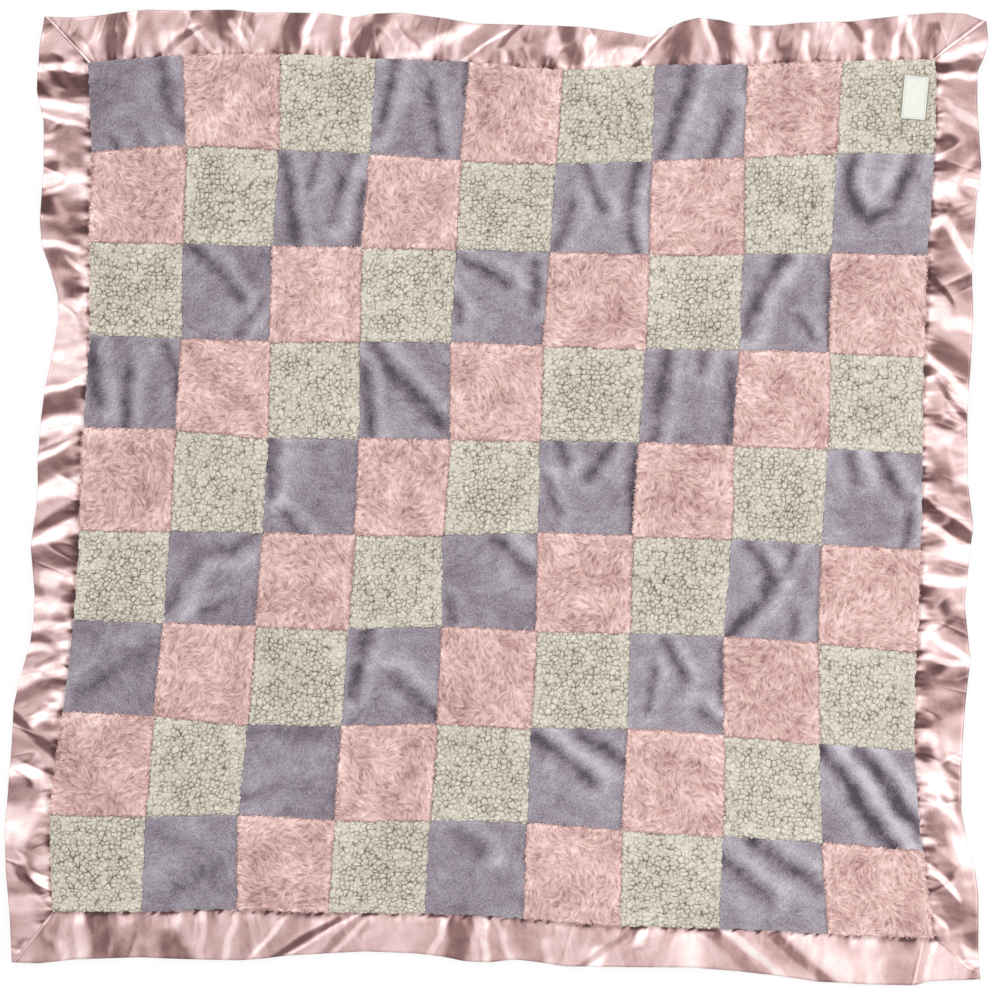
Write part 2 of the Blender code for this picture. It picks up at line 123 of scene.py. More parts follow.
LEFT_EDGE_PIXELS = (
    (45, 17), (40, 45), (37, 92), (44, 120), (44, 170), (40, 220), (42, 245), (51, 270), (58, 295),
    (59, 320), (54, 348), (46, 385), (41, 420), (38, 460), (38, 500), (31, 545), (35, 595), (34, 620),
    (30, 645), (22, 672), (14, 705), (12, 745), (8, 795), (5, 825), (6, 870), (10, 915), (12, 962),
)

# Crests of the ruffles, each from its place on the seam to its place on the outer edge, in pixels
TOP_CREST_PIXELS = (
    (95, 75), (122, 108), (150, 150), (182, 180), (214, 202), (240, 228), (262, 254), (284, 290),
    (310, 324), (336, 366), (372, 402), (404, 436), (438, 468), (470, 500), (502, 528), (530, 548),
    (556, 572), (584, 600), (612, 642), (650, 672), (690, 700), (726, 734), (756, 762), (786, 792),
    (816, 820), (846, 852), (876, 884), (902, 912), (924, 950),
)
RIGHT_CREST_PIXELS = (
    (76, 56), (98, 92), (122, 118), (146, 148), (172, 180), (200, 208), (226, 234), (254, 262),
    (288, 298), (316, 328), (342, 366), (368, 396), (396, 424), (422, 446), (446, 468), (472, 490),
    (500, 514), (524, 540), (550, 560), (584, 592), (612, 634), (644, 658), (682, 694), (724, 732),
    (754, 764), (790, 800), (820, 834), (850, 874), (882, 914), (912, 946),
)
BOTTOM_CREST_PIXELS = (
    (68, 42), (88, 72), (112, 118), (140, 146), (168, 170), (194, 200), (220, 222), (246, 238),
    (280, 256), (310, 274), (340, 296), (372, 334), (400, 376), (424, 412), (446, 440), (472, 480),
    (496, 502), (522, 524), (550, 552), (582, 580), (614, 604), (644, 630), (676, 664), (702, 700),
    (730, 738), (758, 782), (788, 816), (826, 846), (864, 870), (896, 892),
)
LEFT_CREST_PIXELS = (
    (76, 52), (98, 88), (118, 114), (148, 148), (182, 178), (212, 206), (232, 228), (252, 250),
    (272, 272), (302, 306), (342, 340), (384, 374), (404, 404), (428, 430), (450, 456), (478, 484),
    (506, 516), (530, 540), (556, 556), (580, 580), (604, 606), (628, 634), (650, 656), (672, 682),
    (698, 712), (732, 736), (764, 764), (792, 792), (820, 820), (846, 840), (872, 862), (896, 900),
)

PATCHES = len(CROSSING_X_PIXELS) - 1

# Where the photograph's pixels lie in the frame
label_low, label_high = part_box("label")
ORIGIN_X = (label_low.x + label_high.x) / 2 - LABEL_CENTRE_PIXELS[0] * PIXEL
ORIGIN_Y = (label_low.y + label_high.y) / 2 + LABEL_CENTRE_PIXELS[1] * PIXEL


def to_world(pixels):
    """Pixels of the photograph as x and y in the frame."""
    pixels = np.asarray(pixels, float)
    return np.stack([ORIGIN_X + pixels[..., 0] * PIXEL, ORIGIN_Y - pixels[..., 1] * PIXEL], -1)


# Noise

NOISE_CELLS = 64


def smooth_step(low, high, value):
    """0 below low, 1 above high and an even rise between them."""
    share = np.clip((value - low) / (high - low), 0, 1)
    return share * share * (3 - 2 * share)


def noise(x, y, seed):
    """Smooth noise from -1 to 1 with one bump a unit."""
    table = np.random.default_rng(seed).uniform(-1, 1, (NOISE_CELLS, NOISE_CELLS))
    column, row = np.floor(x).astype(int), np.floor(y).astype(int)
    across, down = x - column, y - row
    across, down = across**2 * (3 - 2 * across), down**2 * (3 - 2 * down)

    def corner(right, below):
        return table[(row + below) % NOISE_CELLS, (column + right) % NOISE_CELLS]

    upper = corner(0, 0) * (1 - across) + corner(1, 0) * across
    lower = corner(0, 1) * (1 - across) + corner(1, 1) * across
    return upper * (1 - down) + lower * down


def cloud(x, y, size, seed, octaves=2):
    """Noise at a size in metres, with finer noise in it."""
    total = sum(noise(x / size * 2**i + 7.3, y / size * 2**i + 3.1, seed + i) / 2**i for i in range(octaves))
    return total / (2 - 0.5 ** (octaves - 1))


# The lattice of seams


def padded_lattice():
    """The seam crossings in the frame, with one more row and column on each side."""
    lattice = to_world(np.stack([CROSSING_X_PIXELS, CROSSING_Y_PIXELS], -1))
    for _ in range(2):
        lattice = np.concatenate([2 * lattice[:1] - lattice[1:2], lattice, 2 * lattice[-1:] - lattice[-2:-1]])
        lattice = lattice.swapaxes(0, 1)
    return lattice


LATTICE = padded_lattice()


def curve_weights(share):
    """Weights of four points in a row for a place between the middle two, on a smooth curve."""
    s = np.asarray(share, float)
    return np.stack(
        [
            -0.5 * s + s**2 - 0.5 * s**3,
            1 - 2.5 * s**2 + 1.5 * s**3,
            0.5 * s + 2 * s**2 - 1.5 * s**3,
            -0.5 * s**2 + 0.5 * s**3,
        ],
        -1,
    )


def on_patch(row, column, down, across):
    """Places of a patch at shares down and across it, as a grid of x and y."""
    corners = LATTICE[row : row + 4, column : column + 4]
    return np.einsum("ai,bj,ijk->abk", curve_weights(down), curve_weights(across), corners)


def at_shares(row, column, down, across):
    """The same for single places."""
    corners = LATTICE[row : row + 4, column : column + 4]
    return np.einsum("ni,nj,ijk->nk", curve_weights(down), curve_weights(across), corners)


# Meshes

SHARP_ANGLE = math.radians(62)


def add_mesh(name, points, faces, material, **attributes):
    """A mesh from arrays. faces is a list of arrays of corner numbers, each with its own count of corners."""
    blocks = [np.atleast_2d(np.asarray(block, np.int32)) for block in faces if len(block)]
    corners = np.concatenate([block.ravel() for block in blocks])
    counts = np.concatenate([np.full(len(block), block.shape[1], np.int32) for block in blocks])
    starts = np.concatenate([[0], np.cumsum(counts)[:-1]]).astype(np.int32)
    mesh = bpy.data.meshes.new(name)
    mesh.vertices.add(len(points))
    mesh.vertices.foreach_set("co", np.asarray(points, np.float32).ravel())
    mesh.loops.add(len(corners))
    mesh.loops.foreach_set("vertex_index", corners)
    mesh.polygons.add(len(counts))
    mesh.polygons.foreach_set("loop_start", starts)
    mesh.update(calc_edges=True)
    mesh.validate()
    mesh.shade_smooth()
    mesh.set_sharp_from_angle(angle=SHARP_ANGLE)
    for key, values in attributes.items():
        attribute = mesh.attributes.new(key, "FLOAT", "POINT")
        attribute.data.foreach_set("value", np.asarray(values, np.float32).ravel())
    mesh.materials.append(material)
    piece = bpy.data.objects.new(name, mesh)
    bpy.context.scene.collection.objects.link(piece)
    return piece


def grid_faces(rows, columns):
    """Corner numbers of the squares of a grid, and of the vertices round its rim."""
    numbers = np.arange(rows * columns).reshape(rows, columns)
    squares = np.stack([numbers[:-1, :-1], numbers[1:, :-1], numbers[1:, 1:], numbers[:-1, 1:]], -1)
    rim = np.concatenate([numbers[:-1, 0], numbers[-1, :-1], numbers[:0:-1, -1], numbers[0, :0:-1]])
    return squares.reshape(-1, 4), rim


def repeated(faces, count, size):
    """The corner numbers of a count of copies of the same faces, each copy with a size in vertices."""
    starts = np.arange(count)[:, None, None] * size
    return (np.array(faces) + starts).reshape(-1, len(faces[0]))


def anticlockwise(grid):
    """Whether a grid's rows and columns turn anticlockwise seen from above."""
    along, across = grid[-1, 0] - grid[0, 0], grid[0, -1] - grid[0, 0]
    return along[0] * across[1] - along[1] * across[0] > 0


def add_slab(name, top, foot, material, **attributes):
    """A closed piece with a grid as its top and a flat underside at a height, in one long face a row."""
    rows, columns = top.shape[:2]
    squares, rim = grid_faces(rows, columns)
    low = top.reshape(-1, 3)[rim].copy()
    low[:, 2] = foot
    points = np.concatenate([top.reshape(-1, 3), low])
    under = rows * columns + np.arange(len(rim))
    walls = np.stack([np.roll(rim, -1), rim, under, np.roll(under, -1)], -1)
    left = under[:rows]
    right = under[rows + columns - 2 : 2 * rows + columns - 2][::-1]
    first = np.concatenate([left[:2], right[1:2], under[2 * rows + columns - 3 :]])
    last = np.concatenate([left[-2:-1], under[rows - 1 : rows + columns - 2], right[-1:], right[-2:-1]])
    middle = np.stack([left[1:-2], right[1:-2], right[2:-1], left[2:-1]], -1)
    faces = [squares, walls, first[::-1][None], last[::-1][None], middle]
    if not anticlockwise(top):
        faces = [block[:, ::-1] for block in faces]
    flat = {key: values.ravel() for key, values in attributes.items()}
    spread = {key: np.concatenate([values, values[rim]]) for key, values in flat.items()}
    return add_mesh(name, points, faces, material, **spread)


def add_cloth(name, top, under, material, **attributes):
    """A closed piece between two grids of points, one above the other."""
    rows, columns = top.shape[:2]
    squares, rim = grid_faces(rows, columns)
    count = rows * columns
    points = np.concatenate([top.reshape(-1, 3), under.reshape(-1, 3)])
    walls = np.stack([np.roll(rim, -1), rim, rim + count, np.roll(rim, -1) + count], -1)
    faces = [squares, squares[:, ::-1] + count, walls]
    if not anticlockwise(top):
        faces = [block[:, ::-1] for block in faces]
    spread = {key: np.tile(values.ravel(), 2) for key, values in attributes.items()}
    return add_mesh(name, points, faces, material, **spread)


# Bodies


def carry(piece, row_from, row_to):
    """Rides a piece on the body of its rows of patches; one that crosses or meets a fold only has its place
    baked into its mesh.
    """
    for joint_name, flap, fold_row, flap_is_above in (
        ("top_fold", "top_flap", ROWS_ABOVE_TOP_FOLD, True),
        ("bottom_fold", "bottom_flap", ROWS_ABOVE_BOTTOM_FOLD, False),
    ):
        if row_from <= fold_row <= row_to:
            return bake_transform(piece)
        on_flap = row_to <= fold_row if flap_is_above else row_from >= fold_row
        if on_flap:
            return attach(piece, flap)
    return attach(piece, "centre")


def dress(piece, slot, rows, *nodes):
    """Puts a piece on the bodies of its rows of patches and in the place of CAD nodes. The slot is not used.
    """
    carry(piece, *rows)
    if nodes:
        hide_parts(*nodes)


# Materials


def new_material(name):
    """An empty Principled material, its nodes and its shader."""
    material = bpy.data.materials.new(name)
    material.use_nodes = True
    tree = material.node_tree
    return material, tree, tree.nodes["Principled BSDF"]


def node(tree, kind, inputs=(), **settings):
    """A node with its settings, and its inputs set from values or other nodes' outputs."""
    made = tree.nodes.new("ShaderNode" + kind)
    for key, value in settings.items():
        setattr(made, key, value)
    for key, value in dict(inputs).items():
        if isinstance(value, bpy.types.NodeSocket):
            tree.links.new(value, made.inputs[key])
        else:
            made.inputs[key].default_value = value
    return made


def texture_noise(tree, scale, detail, roughness, distortion=0.0):
    inputs = {"Scale": scale, "Detail": detail, "Roughness": roughness, "Distortion": distortion}
    inputs["Vector"] = node(tree, "TexCoord").outputs["Object"]
    return node(tree, "TexNoise", inputs).outputs["Fac"]


def ramp(tree, value, stops):
    """A colour ramp through (place, colour) stops."""
    made = node(tree, "ValToRGB", {"Fac": value})
    elements = made.color_ramp.elements
    while len(elements) < len(stops):
        elements.new(0.5)
    for element, (place, colour) in zip(elements, stops):
        element.position = place
        element.color = (*colour, 1)
    return made.outputs["Color"]


def math_node(tree, operation, first, second=0.0, third=0.0):
    return node(tree, "Math", {0: first, 1: second, 2: third}, operation=operation).outputs[0]


def linear(red, green, blue):
    """A colour of a picture, 0 to 255, as the shader's own linear colour."""
    return tuple(
        part / 255 / 12.92 if part <= 10.3 else ((part / 255 + 0.055) / 1.055) ** 2.4
        for part in (red, green, blue)
    )


def colour_stops(*stops):
    return [(place, linear(*colour)) for place, colour in stops]


def bump(tree, shader, height, distance, strength):
    made = node(tree, "Bump", {"Height": height, "Distance": distance, "Strength": strength})
    tree.links.new(made.outputs["Normal"], shader.inputs["Normal"])


def cloth_material(name, noises, colours, bumps, settings):
    """Cloth whose colour follows its shade with noise added. The last noise is its bumps too.

    Each noise is its texture settings and how much of it is added. Bumps are distance and strength.
    """
    material, tree, shader = new_material(name)
    # The shade attribute holds painted light and shade as well as each cloth's own tones
    value = node(tree, "Attribute", attribute_name="shade").outputs["Fac"]
    for texture, amount in noises:
        fine = texture_noise(tree, *texture)
        value = math_node(tree, "MULTIPLY_ADD", math_node(tree, "SUBTRACT", fine, 0.5), amount, value)
    tree.links.new(ramp(tree, value, colour_stops(*colours)), shader.inputs["Base Color"])
    for key, setting in settings.items():
        shader.inputs[key].default_value = setting
    bump(tree, shader, fine, *bumps)
    return material, tree, shader, fine


def satin_material():
    """Glossy fine-woven satin: bright turned to the light, mauve turned away, by gloss and painted light and
    shade.
    """
    material, tree, shader, fine = cloth_material(
        "satin",
        (((420, 3, 0.6, 0.4), 0.14),),
        ((0.0, (88, 58, 57)), (0.22, (132, 97, 95)), (0.45, (196, 162, 160)), (0.7, (236, 208, 206)),
         (0.92, (255, 248, 245))),
        (0.0005, 0.3),
        {"Metallic": 0.22, "Sheen Weight": 0.1},
    )
    tree.links.new(math_node(tree, "MULTIPLY_ADD", fine, 0.12, 0.34), shader.inputs["Roughness"])
    return material


def plain_material(name, dark, light, scale, roughness):
    """A plain cloth between two colours, with a fine texture."""
    material, tree, shader = new_material(name)
    fine = texture_noise(tree, scale, 3, 0.6)
    tree.links.new(ramp(tree, fine, colour_stops((0.25, dark), (0.75, light))), shader.inputs["Base Color"])
    shader.inputs["Roughness"].default_value = roughness
    shader.inputs["Specular IOR Level"].default_value = 0.2
    bump(tree, shader, fine, 0.0004, 0.6)
    return material


def pile_settings(roughness, specular, sheen, sheen_roughness):
    return {"Roughness": roughness, "Specular IOR Level": specular, "Sheen Weight": sheen,
            "Sheen Roughness": sheen_roughness}


# Short smooth pile, long soft pile and curled pile, by fabric
PILES = {
    "purple_velour": (
        (((55, 3, 0.6), 0.22), ((760, 2, 0.7), 1.1)),
        ((0.0, (76, 68, 78)), (0.3, (114, 105, 115)), (0.5, (139, 130, 140)), (0.75, (162, 156, 164)),
         (1.0, (188, 183, 192))),
        (0.0006, 0.7),
        pile_settings(0.85, 0.15, 0.25, 0.5),
    ),
    "pink_plush": (
        (((45, 2, 0.5), 0.45), ((700, 2, 0.6), 0.55)),
        ((0.0, (143, 104, 102)), (0.25, (179, 143, 139)), (0.5, (205, 170, 165)), (0.75, (227, 197, 192)),
         (1.0, (247, 227, 221))),
        (0.0004, 0.6),
        pile_settings(0.75, 0.2, 0.2, 0.4),
    ),
    "cream_sherpa": (
        (((40, 2, 0.5), 0.2), ((1100, 3, 0.7), 0.25)),
        ((0.0, (116, 109, 96)), (0.3, (162, 156, 142)), (0.55, (199, 193, 180)), (0.8, (219, 214, 201)),
         (1.0, (236, 233, 221))),
        (0.0006, 0.8),
        pile_settings(0.9, 0.1, 0.15, 0.5),
    ),
}
MATERIALS = {name: cloth_material(name, *look)[0] for name, look in PILES.items()}
MATERIALS["satin"] = satin_material()
for word, *look in (
    ("backing", (206, 196, 182), (228, 220, 208), 700, 0.9),
    ("label", (206, 209, 200), (230, 231, 224), 1500, 0.55),
    ("label_thread", (176, 176, 166), (206, 205, 196), 1500, 0.6),
):
    MATERIALS[word] = plain_material(word, *look)


# Patches

VELOUR_GRID = 74
SHERPA_GRID = 150
PLUSH_GRID = 138
EDGE_HEIGHTS = {"purple_velour": 0.0054, "pink_plush": 0.0071, "cream_sherpa": 0.0059}
EDGE_ROLLS = {"purple_velour": 0.0015, "pink_plush": 0.0045, "cream_sherpa": 0.0035}
SEAM_WAVE = 0.0006
SEAM_WAVE_SIZE, FINE_SEAM_WAVE_SIZE = 0.0042, 0.0019
STRAND_STEPS = 9
LEAST_PILE = 0.0008

# In the names below a pair is the size and the strength of a cloud of noise, unless a comment says otherwise

# Velour: its nap, tones, swells and lighter rim at the seams, partly fuzz and partly painted light
VELOUR_STRAND, VELOUR_STRAND_LENGTH = 0.0022, 0.007
VELOUR_LIE = (0.05, 2.5)
# The velour patches are paler column by column from left to right
VELOUR_SHADE, VELOUR_SHADE_STEP, VELOUR_STRAND_TONE = 0.52, 0.012, 0.04
VELOUR_BLOOM, VELOUR_FINE_BLOOM = (0.03, 0.14), (0.01, 0.1)
VELOUR_DROP, VELOUR_SWELL = 0.0002, (0.014, 0.0006)
VELOUR_RIM, VELOUR_RIM_FUZZ_AND_LIGHT = 0.0014, 0.12
VELOUR_RIM_LEAST, VELOUR_RIM_CLOUD = 0.6, (0.009, 0.8)

# Creases: how they bend from their lines and vary, and the ridges beside them, in half widths of the crease
CREASE_BEND, CREASE_SHARPNESS = (0.013, 0.0022), 1.4
CREASE_LEAST, CREASE_CLOUD = 0.8, (0.009, 0.55)
# Hollows are painted darker, partly crushed nap and partly painted shade; ridges get a painted highlight
CREASE_NAP_AND_SHADE, CREASE_RIDGE_HIGHLIGHT = 0.29, 0.13
RIDGE_PLACE, RIDGE_WIDTH, RIDGE_HEIGHT = 2.0, 1.1, 0.35
RIDGE_TONE, LIT_SIDE_HIGHLIGHT = 0.8, 0.4

# Creases in the velour, by patch: points in pixels, then half width in pixels and depth in mm
CREASES = {
    (0, 0): (((160, 62), (175, 120), (183, 130), 7, 1.2), ((115, 142), (118, 152), 5, 0.8),
            ((142, 136), (142, 148), 5, 0.8), ((162, 136), (164, 150), 4, 0.8)),
    (0, 3): (((396, 62), (390, 95), (378, 132), 6, 1.6), ((430, 85), (440, 150), 6, 1.3),
            ((466, 62), (465, 95), 4, 1.2)),
    (0, 6): (((693, 66), (685, 95), (662, 157), 7, 1.8), ((730, 112), (712, 158), 7, 1.6),
            ((748, 66), (744, 90), 4, 0.8)),
    (1, 2): (((284, 156), (290, 200), (297, 248), 6, 1.6), ((350, 157), (333, 218), 7, 1.5),
            ((363, 185), (356, 248), 5, 1.3), ((318, 156), (310, 188), 4, 1.0)),
    (1, 5): (((585, 166), (603, 212), 6, 1.5), ((638, 166), (627, 210), (635, 250), 6, 1.6),
            ((575, 205), (557, 245), 6, 1.3)),
    (1, 8): (((853, 158), (848, 190), (866, 220), (892, 208), (913, 160), 7, 2.0),),
    (2, 1): (((190, 248), (215, 265), (243, 302), 6, 1.6), ((262, 304), (238, 334), 6, 1.3)),
    (2, 4): (((455, 256), (480, 270), (510, 284), 6, 1.5), ((455, 298), (462, 322), 5, 1.2),
            ((537, 266), (535, 305), 6, 1.4)),
    (2, 7): (((785, 258), (765, 280), (745, 335), 7, 1.8), ((829, 262), (828, 345), 5, 1.3),
            ((798, 318), (815, 338), 5, 1.2)),
    (3, 0): (((92, 345), (94, 375), (101, 405), 7, 1.8), ((131, 365), (125, 428), 6, 1.5),
            ((165, 346), (176, 370), (178, 395), 6, 1.2)),
    (3, 3): (((373, 345), (395, 375), (442, 424), 8, 2.0), ((364, 362), (372, 434), 6, 1.6)),
    (3, 6): (((668, 350), (663, 380), (652, 444), 7, 1.7), ((706, 350), (700, 373), 5, 1.1),
            ((730, 365), (729, 443), 6, 1.5)),
    (4, 2): (((272, 444), (271, 492), 7, 1.5), ((283, 512), (302, 532), 6, 1.2)),
    (4, 5): (((560, 444), (566, 462), 6, 1.3), ((611, 446), (588, 478), 6, 1.4),
            ((547, 478), (558, 514), 5, 1.3), ((634, 448), (632, 532), 6, 1.5)),
    (4, 8): (((850, 457), (856, 478), 7, 1.5), ((880, 458), (901, 498), 7, 1.7),
            ((913, 498), (905, 545), 5, 1.4)),
    (5, 1): (((256, 536), (235, 550), (200, 556), (169, 608), 7, 1.6), ((203, 612), (232, 599), 5, 1.1)),
    (5, 4): (((497, 540), (530, 572), 8, 1.6), ((449, 600), (452, 618), 6, 1.1)),
    (5, 7): (((750, 546), (772, 580), (762, 602), (728, 636), 7, 1.8), ((796, 546), (785, 573), 5, 1.2),
            ((796, 612), (795, 632), 6, 1.2)),
    (6, 0): (((82, 694), (115, 668), (152, 648), 10, 0.8),),
    (6, 3): (((368, 632), (350, 694), 7, 1.6), ((395, 678), (436, 718), 8, 1.8)),
    (6, 6): (((664, 642), (686, 678), 6, 1.4), ((655, 668), (649, 708), 5, 1.2),
            ((722, 648), (721, 702), 5, 1.2), ((698, 708), (717, 724), 6, 1.3)),
    (7, 2): (((248, 733), (290, 729), (332, 733), 8, 0.6), ((246, 798), (282, 782), 7, 0.6)),
    (7, 5): (((534, 738), (560, 756), (592, 781), 8, 1.8), ((579, 733), (622, 762), 7, 1.6)),
    (7, 8): (((822, 750), (850, 786), (872, 822), (892, 847), 8, 2.6),
            ((858, 752), (882, 778), (917, 830), 8, 2.4)),
    (8, 1): (((148, 828), (202, 851), 9, 0.5), ((158, 898), (217, 869), 9, 0.6)),
    (8, 4): (((459, 833), (482, 852), 8, 1.3), ((500, 880), (520, 900), 9, 0.8)),
    (8, 7): (((721, 858), (767, 897), 8, 1.7), ((754, 843), (817, 887), 8, 1.7)),
}


def distance_to_line(place, line):
    """Distance from places to a line of points, and which side of it they are on."""
    nearest = np.full(place.shape[:-1], np.inf)
    side = np.zeros(place.shape[:-1])
    for start, end in zip(line, line[1:]):
        along = end - start
        share = np.clip(((place - start) @ along) / (along @ along), 0, 1)
        offset = place - start - share[..., None] * along
        distance = np.hypot(offset[..., 0], offset[..., 1])
        turn = along[0] * offset[..., 1] - along[1] * offset[..., 0]
        side = np.where(distance < nearest, np.sign(turn), side)
        nearest = np.minimum(distance, nearest)
    return nearest, side


def waved(place):
    """Places with the small waves that the seams have."""
    x, y = place[..., 0], place[..., 1]
    waves = [
        cloud(x, y, SEAM_WAVE_SIZE, seed, 1) + 1.1 * cloud(x, y, FINE_SEAM_WAVE_SIZE, seed + 1, 1)
        for seed in (31, 37)
    ]
    return place + SEAM_WAVE * np.stack(waves, -1)


def combed(x, y, angle, size, length, seed):
    """Noise that is drawn out into strands along an angle, about -2 to 2."""
    steps = np.linspace(-0.5, 0.5, STRAND_STEPS) * length
    cos, sin = np.cos(angle), np.sin(angle)
    total = sum(noise((x + step * cos) / size, (y + step * sin) / size, seed) for step in steps)
    return total / total.std()


def from_sides(down, across, side):
    """Distance from the nearest side of a square."""
    return np.minimum.reduce([down, side - down, across, side - across])


def rolled(distance, fabric, crown):
    """A height that rolls down from the crown of the pile to its edge at the seams."""
    inset = np.clip(distance / EDGE_ROLLS[fabric], 0, 1)
    return EDGE_HEIGHTS[fabric] + (crown - EDGE_HEIGHTS[fabric]) * (1 - (1 - inset) ** 2)


class Patch:
    """A patch's grid of places in the frame, with how far each lies from the patch's edges."""

    def __init__(self, row, column, count):
        self.row, self.column = row, column
        self.fabric = FABRICS[(row + column) % len(FABRICS)]
        self.name = f"{self.fabric}_patch_r{row + 1}_c{column + 1}"
        self.seed = 100 * row + 7 * column
        shares = np.linspace(0, 1, count)
        self.place = waved(on_patch(row, column, shares, shares))
        self.down, self.across = np.meshgrid(shares * PATCH_SIDE, shares * PATCH_SIDE, indexing="ij")
        self.edge_distance = from_sides(self.down, self.across, PATCH_SIDE)
        self.x, self.y = self.place[..., 0], self.place[..., 1]

    def clouds(self, look, step, octaves=2):
        """Noise over the patch with the size and strength of a look."""
        size, strength = look
        return strength * cloud(self.x, self.y, size, self.seed + step, octaves)

    def near_edge(self, reach):
        """1 at the patch's edge, falling off inwards."""
        return np.exp(-self.edge_distance / reach)

    def rounded(self, edge_wave=0.0):
        """The pile's height, which rolls down towards the seams."""
        return rolled(self.edge_distance + edge_wave, self.fabric, PATCH_FOOT + PILE_HEIGHTS[self.fabric])

    def add(self, height, shade):
        top = np.concatenate([self.place, np.maximum(height, PATCH_FOOT + LEAST_PILE)[..., None]], -1)
        piece = add_slab(self.name, top, PATCH_FOOT, MATERIALS[self.fabric], shade=shade)
        dress(piece, self.fabric, (self.row, self.row + 1), cad_run(self.row, self.column))
        return piece


def cad_run(row, column):
    """The CAD node that holds a patch."""
    band, first_row = next((name, rows[0]) for name, rows in BAND_ROWS.items() if rows[0] <= row < rows[1])
    total = row + column
    number = sum(1 for other in range(first_row, total + 1) if (total - other) % len(FABRICS) == 0)
    return f"{FABRICS[total % len(FABRICS)]}_patches_{band}_{number}"


def add_velour_patch(row, column):
    """Short brushed pile with soft creases."""
    patch = Patch(row, column, VELOUR_GRID)
    lie = patch.clouds(VELOUR_LIE, 3)
    brushed = combed(patch.x, patch.y, lie, VELOUR_STRAND, VELOUR_STRAND_LENGTH, patch.seed + 4)
    shade = VELOUR_SHADE + VELOUR_SHADE_STEP * (column - PATCHES // 2) + patch.clouds(VELOUR_BLOOM, 0)
    shade = shade + patch.clouds(VELOUR_FINE_BLOOM, 6) + VELOUR_STRAND_TONE * brushed
    height = patch.rounded() - VELOUR_DROP + patch.clouds(VELOUR_SWELL, 40)
    bent = patch.place + np.stack([patch.clouds(CREASE_BEND, step) for step in (8, 9)], -1)
    for *line, half_width, depth in CREASES[row, column]:
        distance, side = distance_to_line(bent, to_world(line))
        reach = half_width * PIXEL
        near = np.exp(-((distance / reach) ** CREASE_SHARPNESS))
        near = near * (CREASE_LEAST + patch.clouds(CREASE_CLOUD, 15))
        beside = bell(distance - RIDGE_PLACE * reach, RIDGE_WIDTH * reach)
        height += 0.001 * depth * (RIDGE_HEIGHT * beside - near)
        # Painted shade in the hollow, partly the nap's own crushed tone, and painted highlight on the ridges,
        # more on the lit side
        ridge = CREASE_RIDGE_HIGHLIGHT * beside * (RIDGE_TONE + LIT_SIDE_HIGHLIGHT * side)
        shade += depth * (ridge - CREASE_NAP_AND_SHADE * near)
    # A lighter rim along the seams, partly the pile's fuzz and partly painted light
    rim = VELOUR_RIM_FUZZ_AND_LIGHT * patch.near_edge(VELOUR_RIM)
    shade += rim * (VELOUR_RIM_LEAST + patch.clouds(VELOUR_RIM_CLOUD, 27))
    patch.add(height, shade)


# Sherpa: packed nubs, with clefts that are flatter in some places and painted darker as shade
NUB_SPACING = 0.0035
NUB_CLEFT = 0.0023
NUB_SHIFT = 0.46
NUB_STRETCH = 1.35
NUB_SIZE_SPREAD = 0.16
NUB_GRID_EXTRA = 8
NUB_RIDGE, NUB_RIDGE_SHARE = 0.55, 0.6
NUB_DOME, NUB_DOME_SHARE = 0.85, 0.4
NUB_BEND = (0.0034, 0.0009)
NUB_RISE, NUB_EDGE_WAVE = 0.00022, 0.0012
SHERPA_SWELL, SHERPA_SWELL_RISE = (0.022, 1.0), 0.0005
FLAT_SPOTS, FLAT_AREAS = (0.004, 1.0), (0.022, 0.3)
FLAT_MOST, FLAT_RIM, FLAT_RIM_MOST, CLEFT_FLATTENED = 0.5, 0.006, 0.15, 0.8
SHERPA_SHADE, CLEFT_PAINTED_SHADE, NUB_TONE, SHERPA_SWELL_PAINTED_LIGHT = 0.65, 0.66, 0.08, 0.08
SHERPA_RIM, SHERPA_RIM_FUZZ_AND_LIGHT, RIM_CLEFT_SHARE = 0.005, 0.08, 0.5
PRESSED_PILE, PAINTED_LABEL_SHADOW = 0.0048, 0.42
# From where to where noise flattens the clefts, and a nub's height takes it out of its cleft
FLAT_STEP, CLEFT_STEP = (-0.1, 0.6), (0.05, 0.85)


def nub_field(across, down, seed):
    """Heights from 0 to 1 of packed uneven nubs with clefts all round them, and each nub's own tone."""
    random = np.random.default_rng(seed)
    cells = int(PATCH_SIDE / NUB_SPACING) + NUB_GRID_EXTRA
    offset_x, offset_y = random.uniform(-NUB_SHIFT, NUB_SHIFT, (2, cells, cells))
    turn = random.uniform(0, math.pi, (cells, cells))
    stretch = random.uniform(1.0, NUB_STRETCH, (cells, cells))
    size = random.uniform(-NUB_SIZE_SPREAD, NUB_SIZE_SPREAD, (cells, cells))
    tones = random.uniform(-1, 1, (cells, cells))
    u, v = across / NUB_SPACING + 3.5, down / NUB_SPACING + 3.5
    column, row = np.floor(u).astype(int), np.floor(v).astype(int)
    nearest, second = np.full(u.shape, 9.0), np.full(u.shape, 9.0)
    tone = np.zeros(u.shape)
    for step_row in range(-2, 3):
        for step_column in range(-2, 3):
            r, c = np.clip(row + step_row, 0, cells - 1), np.clip(column + step_column, 0, cells - 1)
            dx, dy = u - (c + 0.5 + offset_x[r, c]), v - (r + 0.5 + offset_y[r, c])
            cos, sin = np.cos(turn[r, c]), np.sin(turn[r, c])
            distance = np.hypot((dx * cos + dy * sin) / stretch[r, c], dx * sin - dy * cos) + size[r, c]
            tone = np.where(distance < nearest, tones[r, c], tone)
            second = np.minimum(second, np.maximum(distance, nearest))
            nearest = np.minimum(distance, nearest)
    ridge = 1 - (1 - np.clip((second - nearest) / NUB_RIDGE, 0, 1)) ** 2
    dome = 1 - np.clip(nearest / NUB_DOME, 0, 1) ** 2
    return NUB_RIDGE_SHARE * ridge + NUB_DOME_SHARE * dome, tone


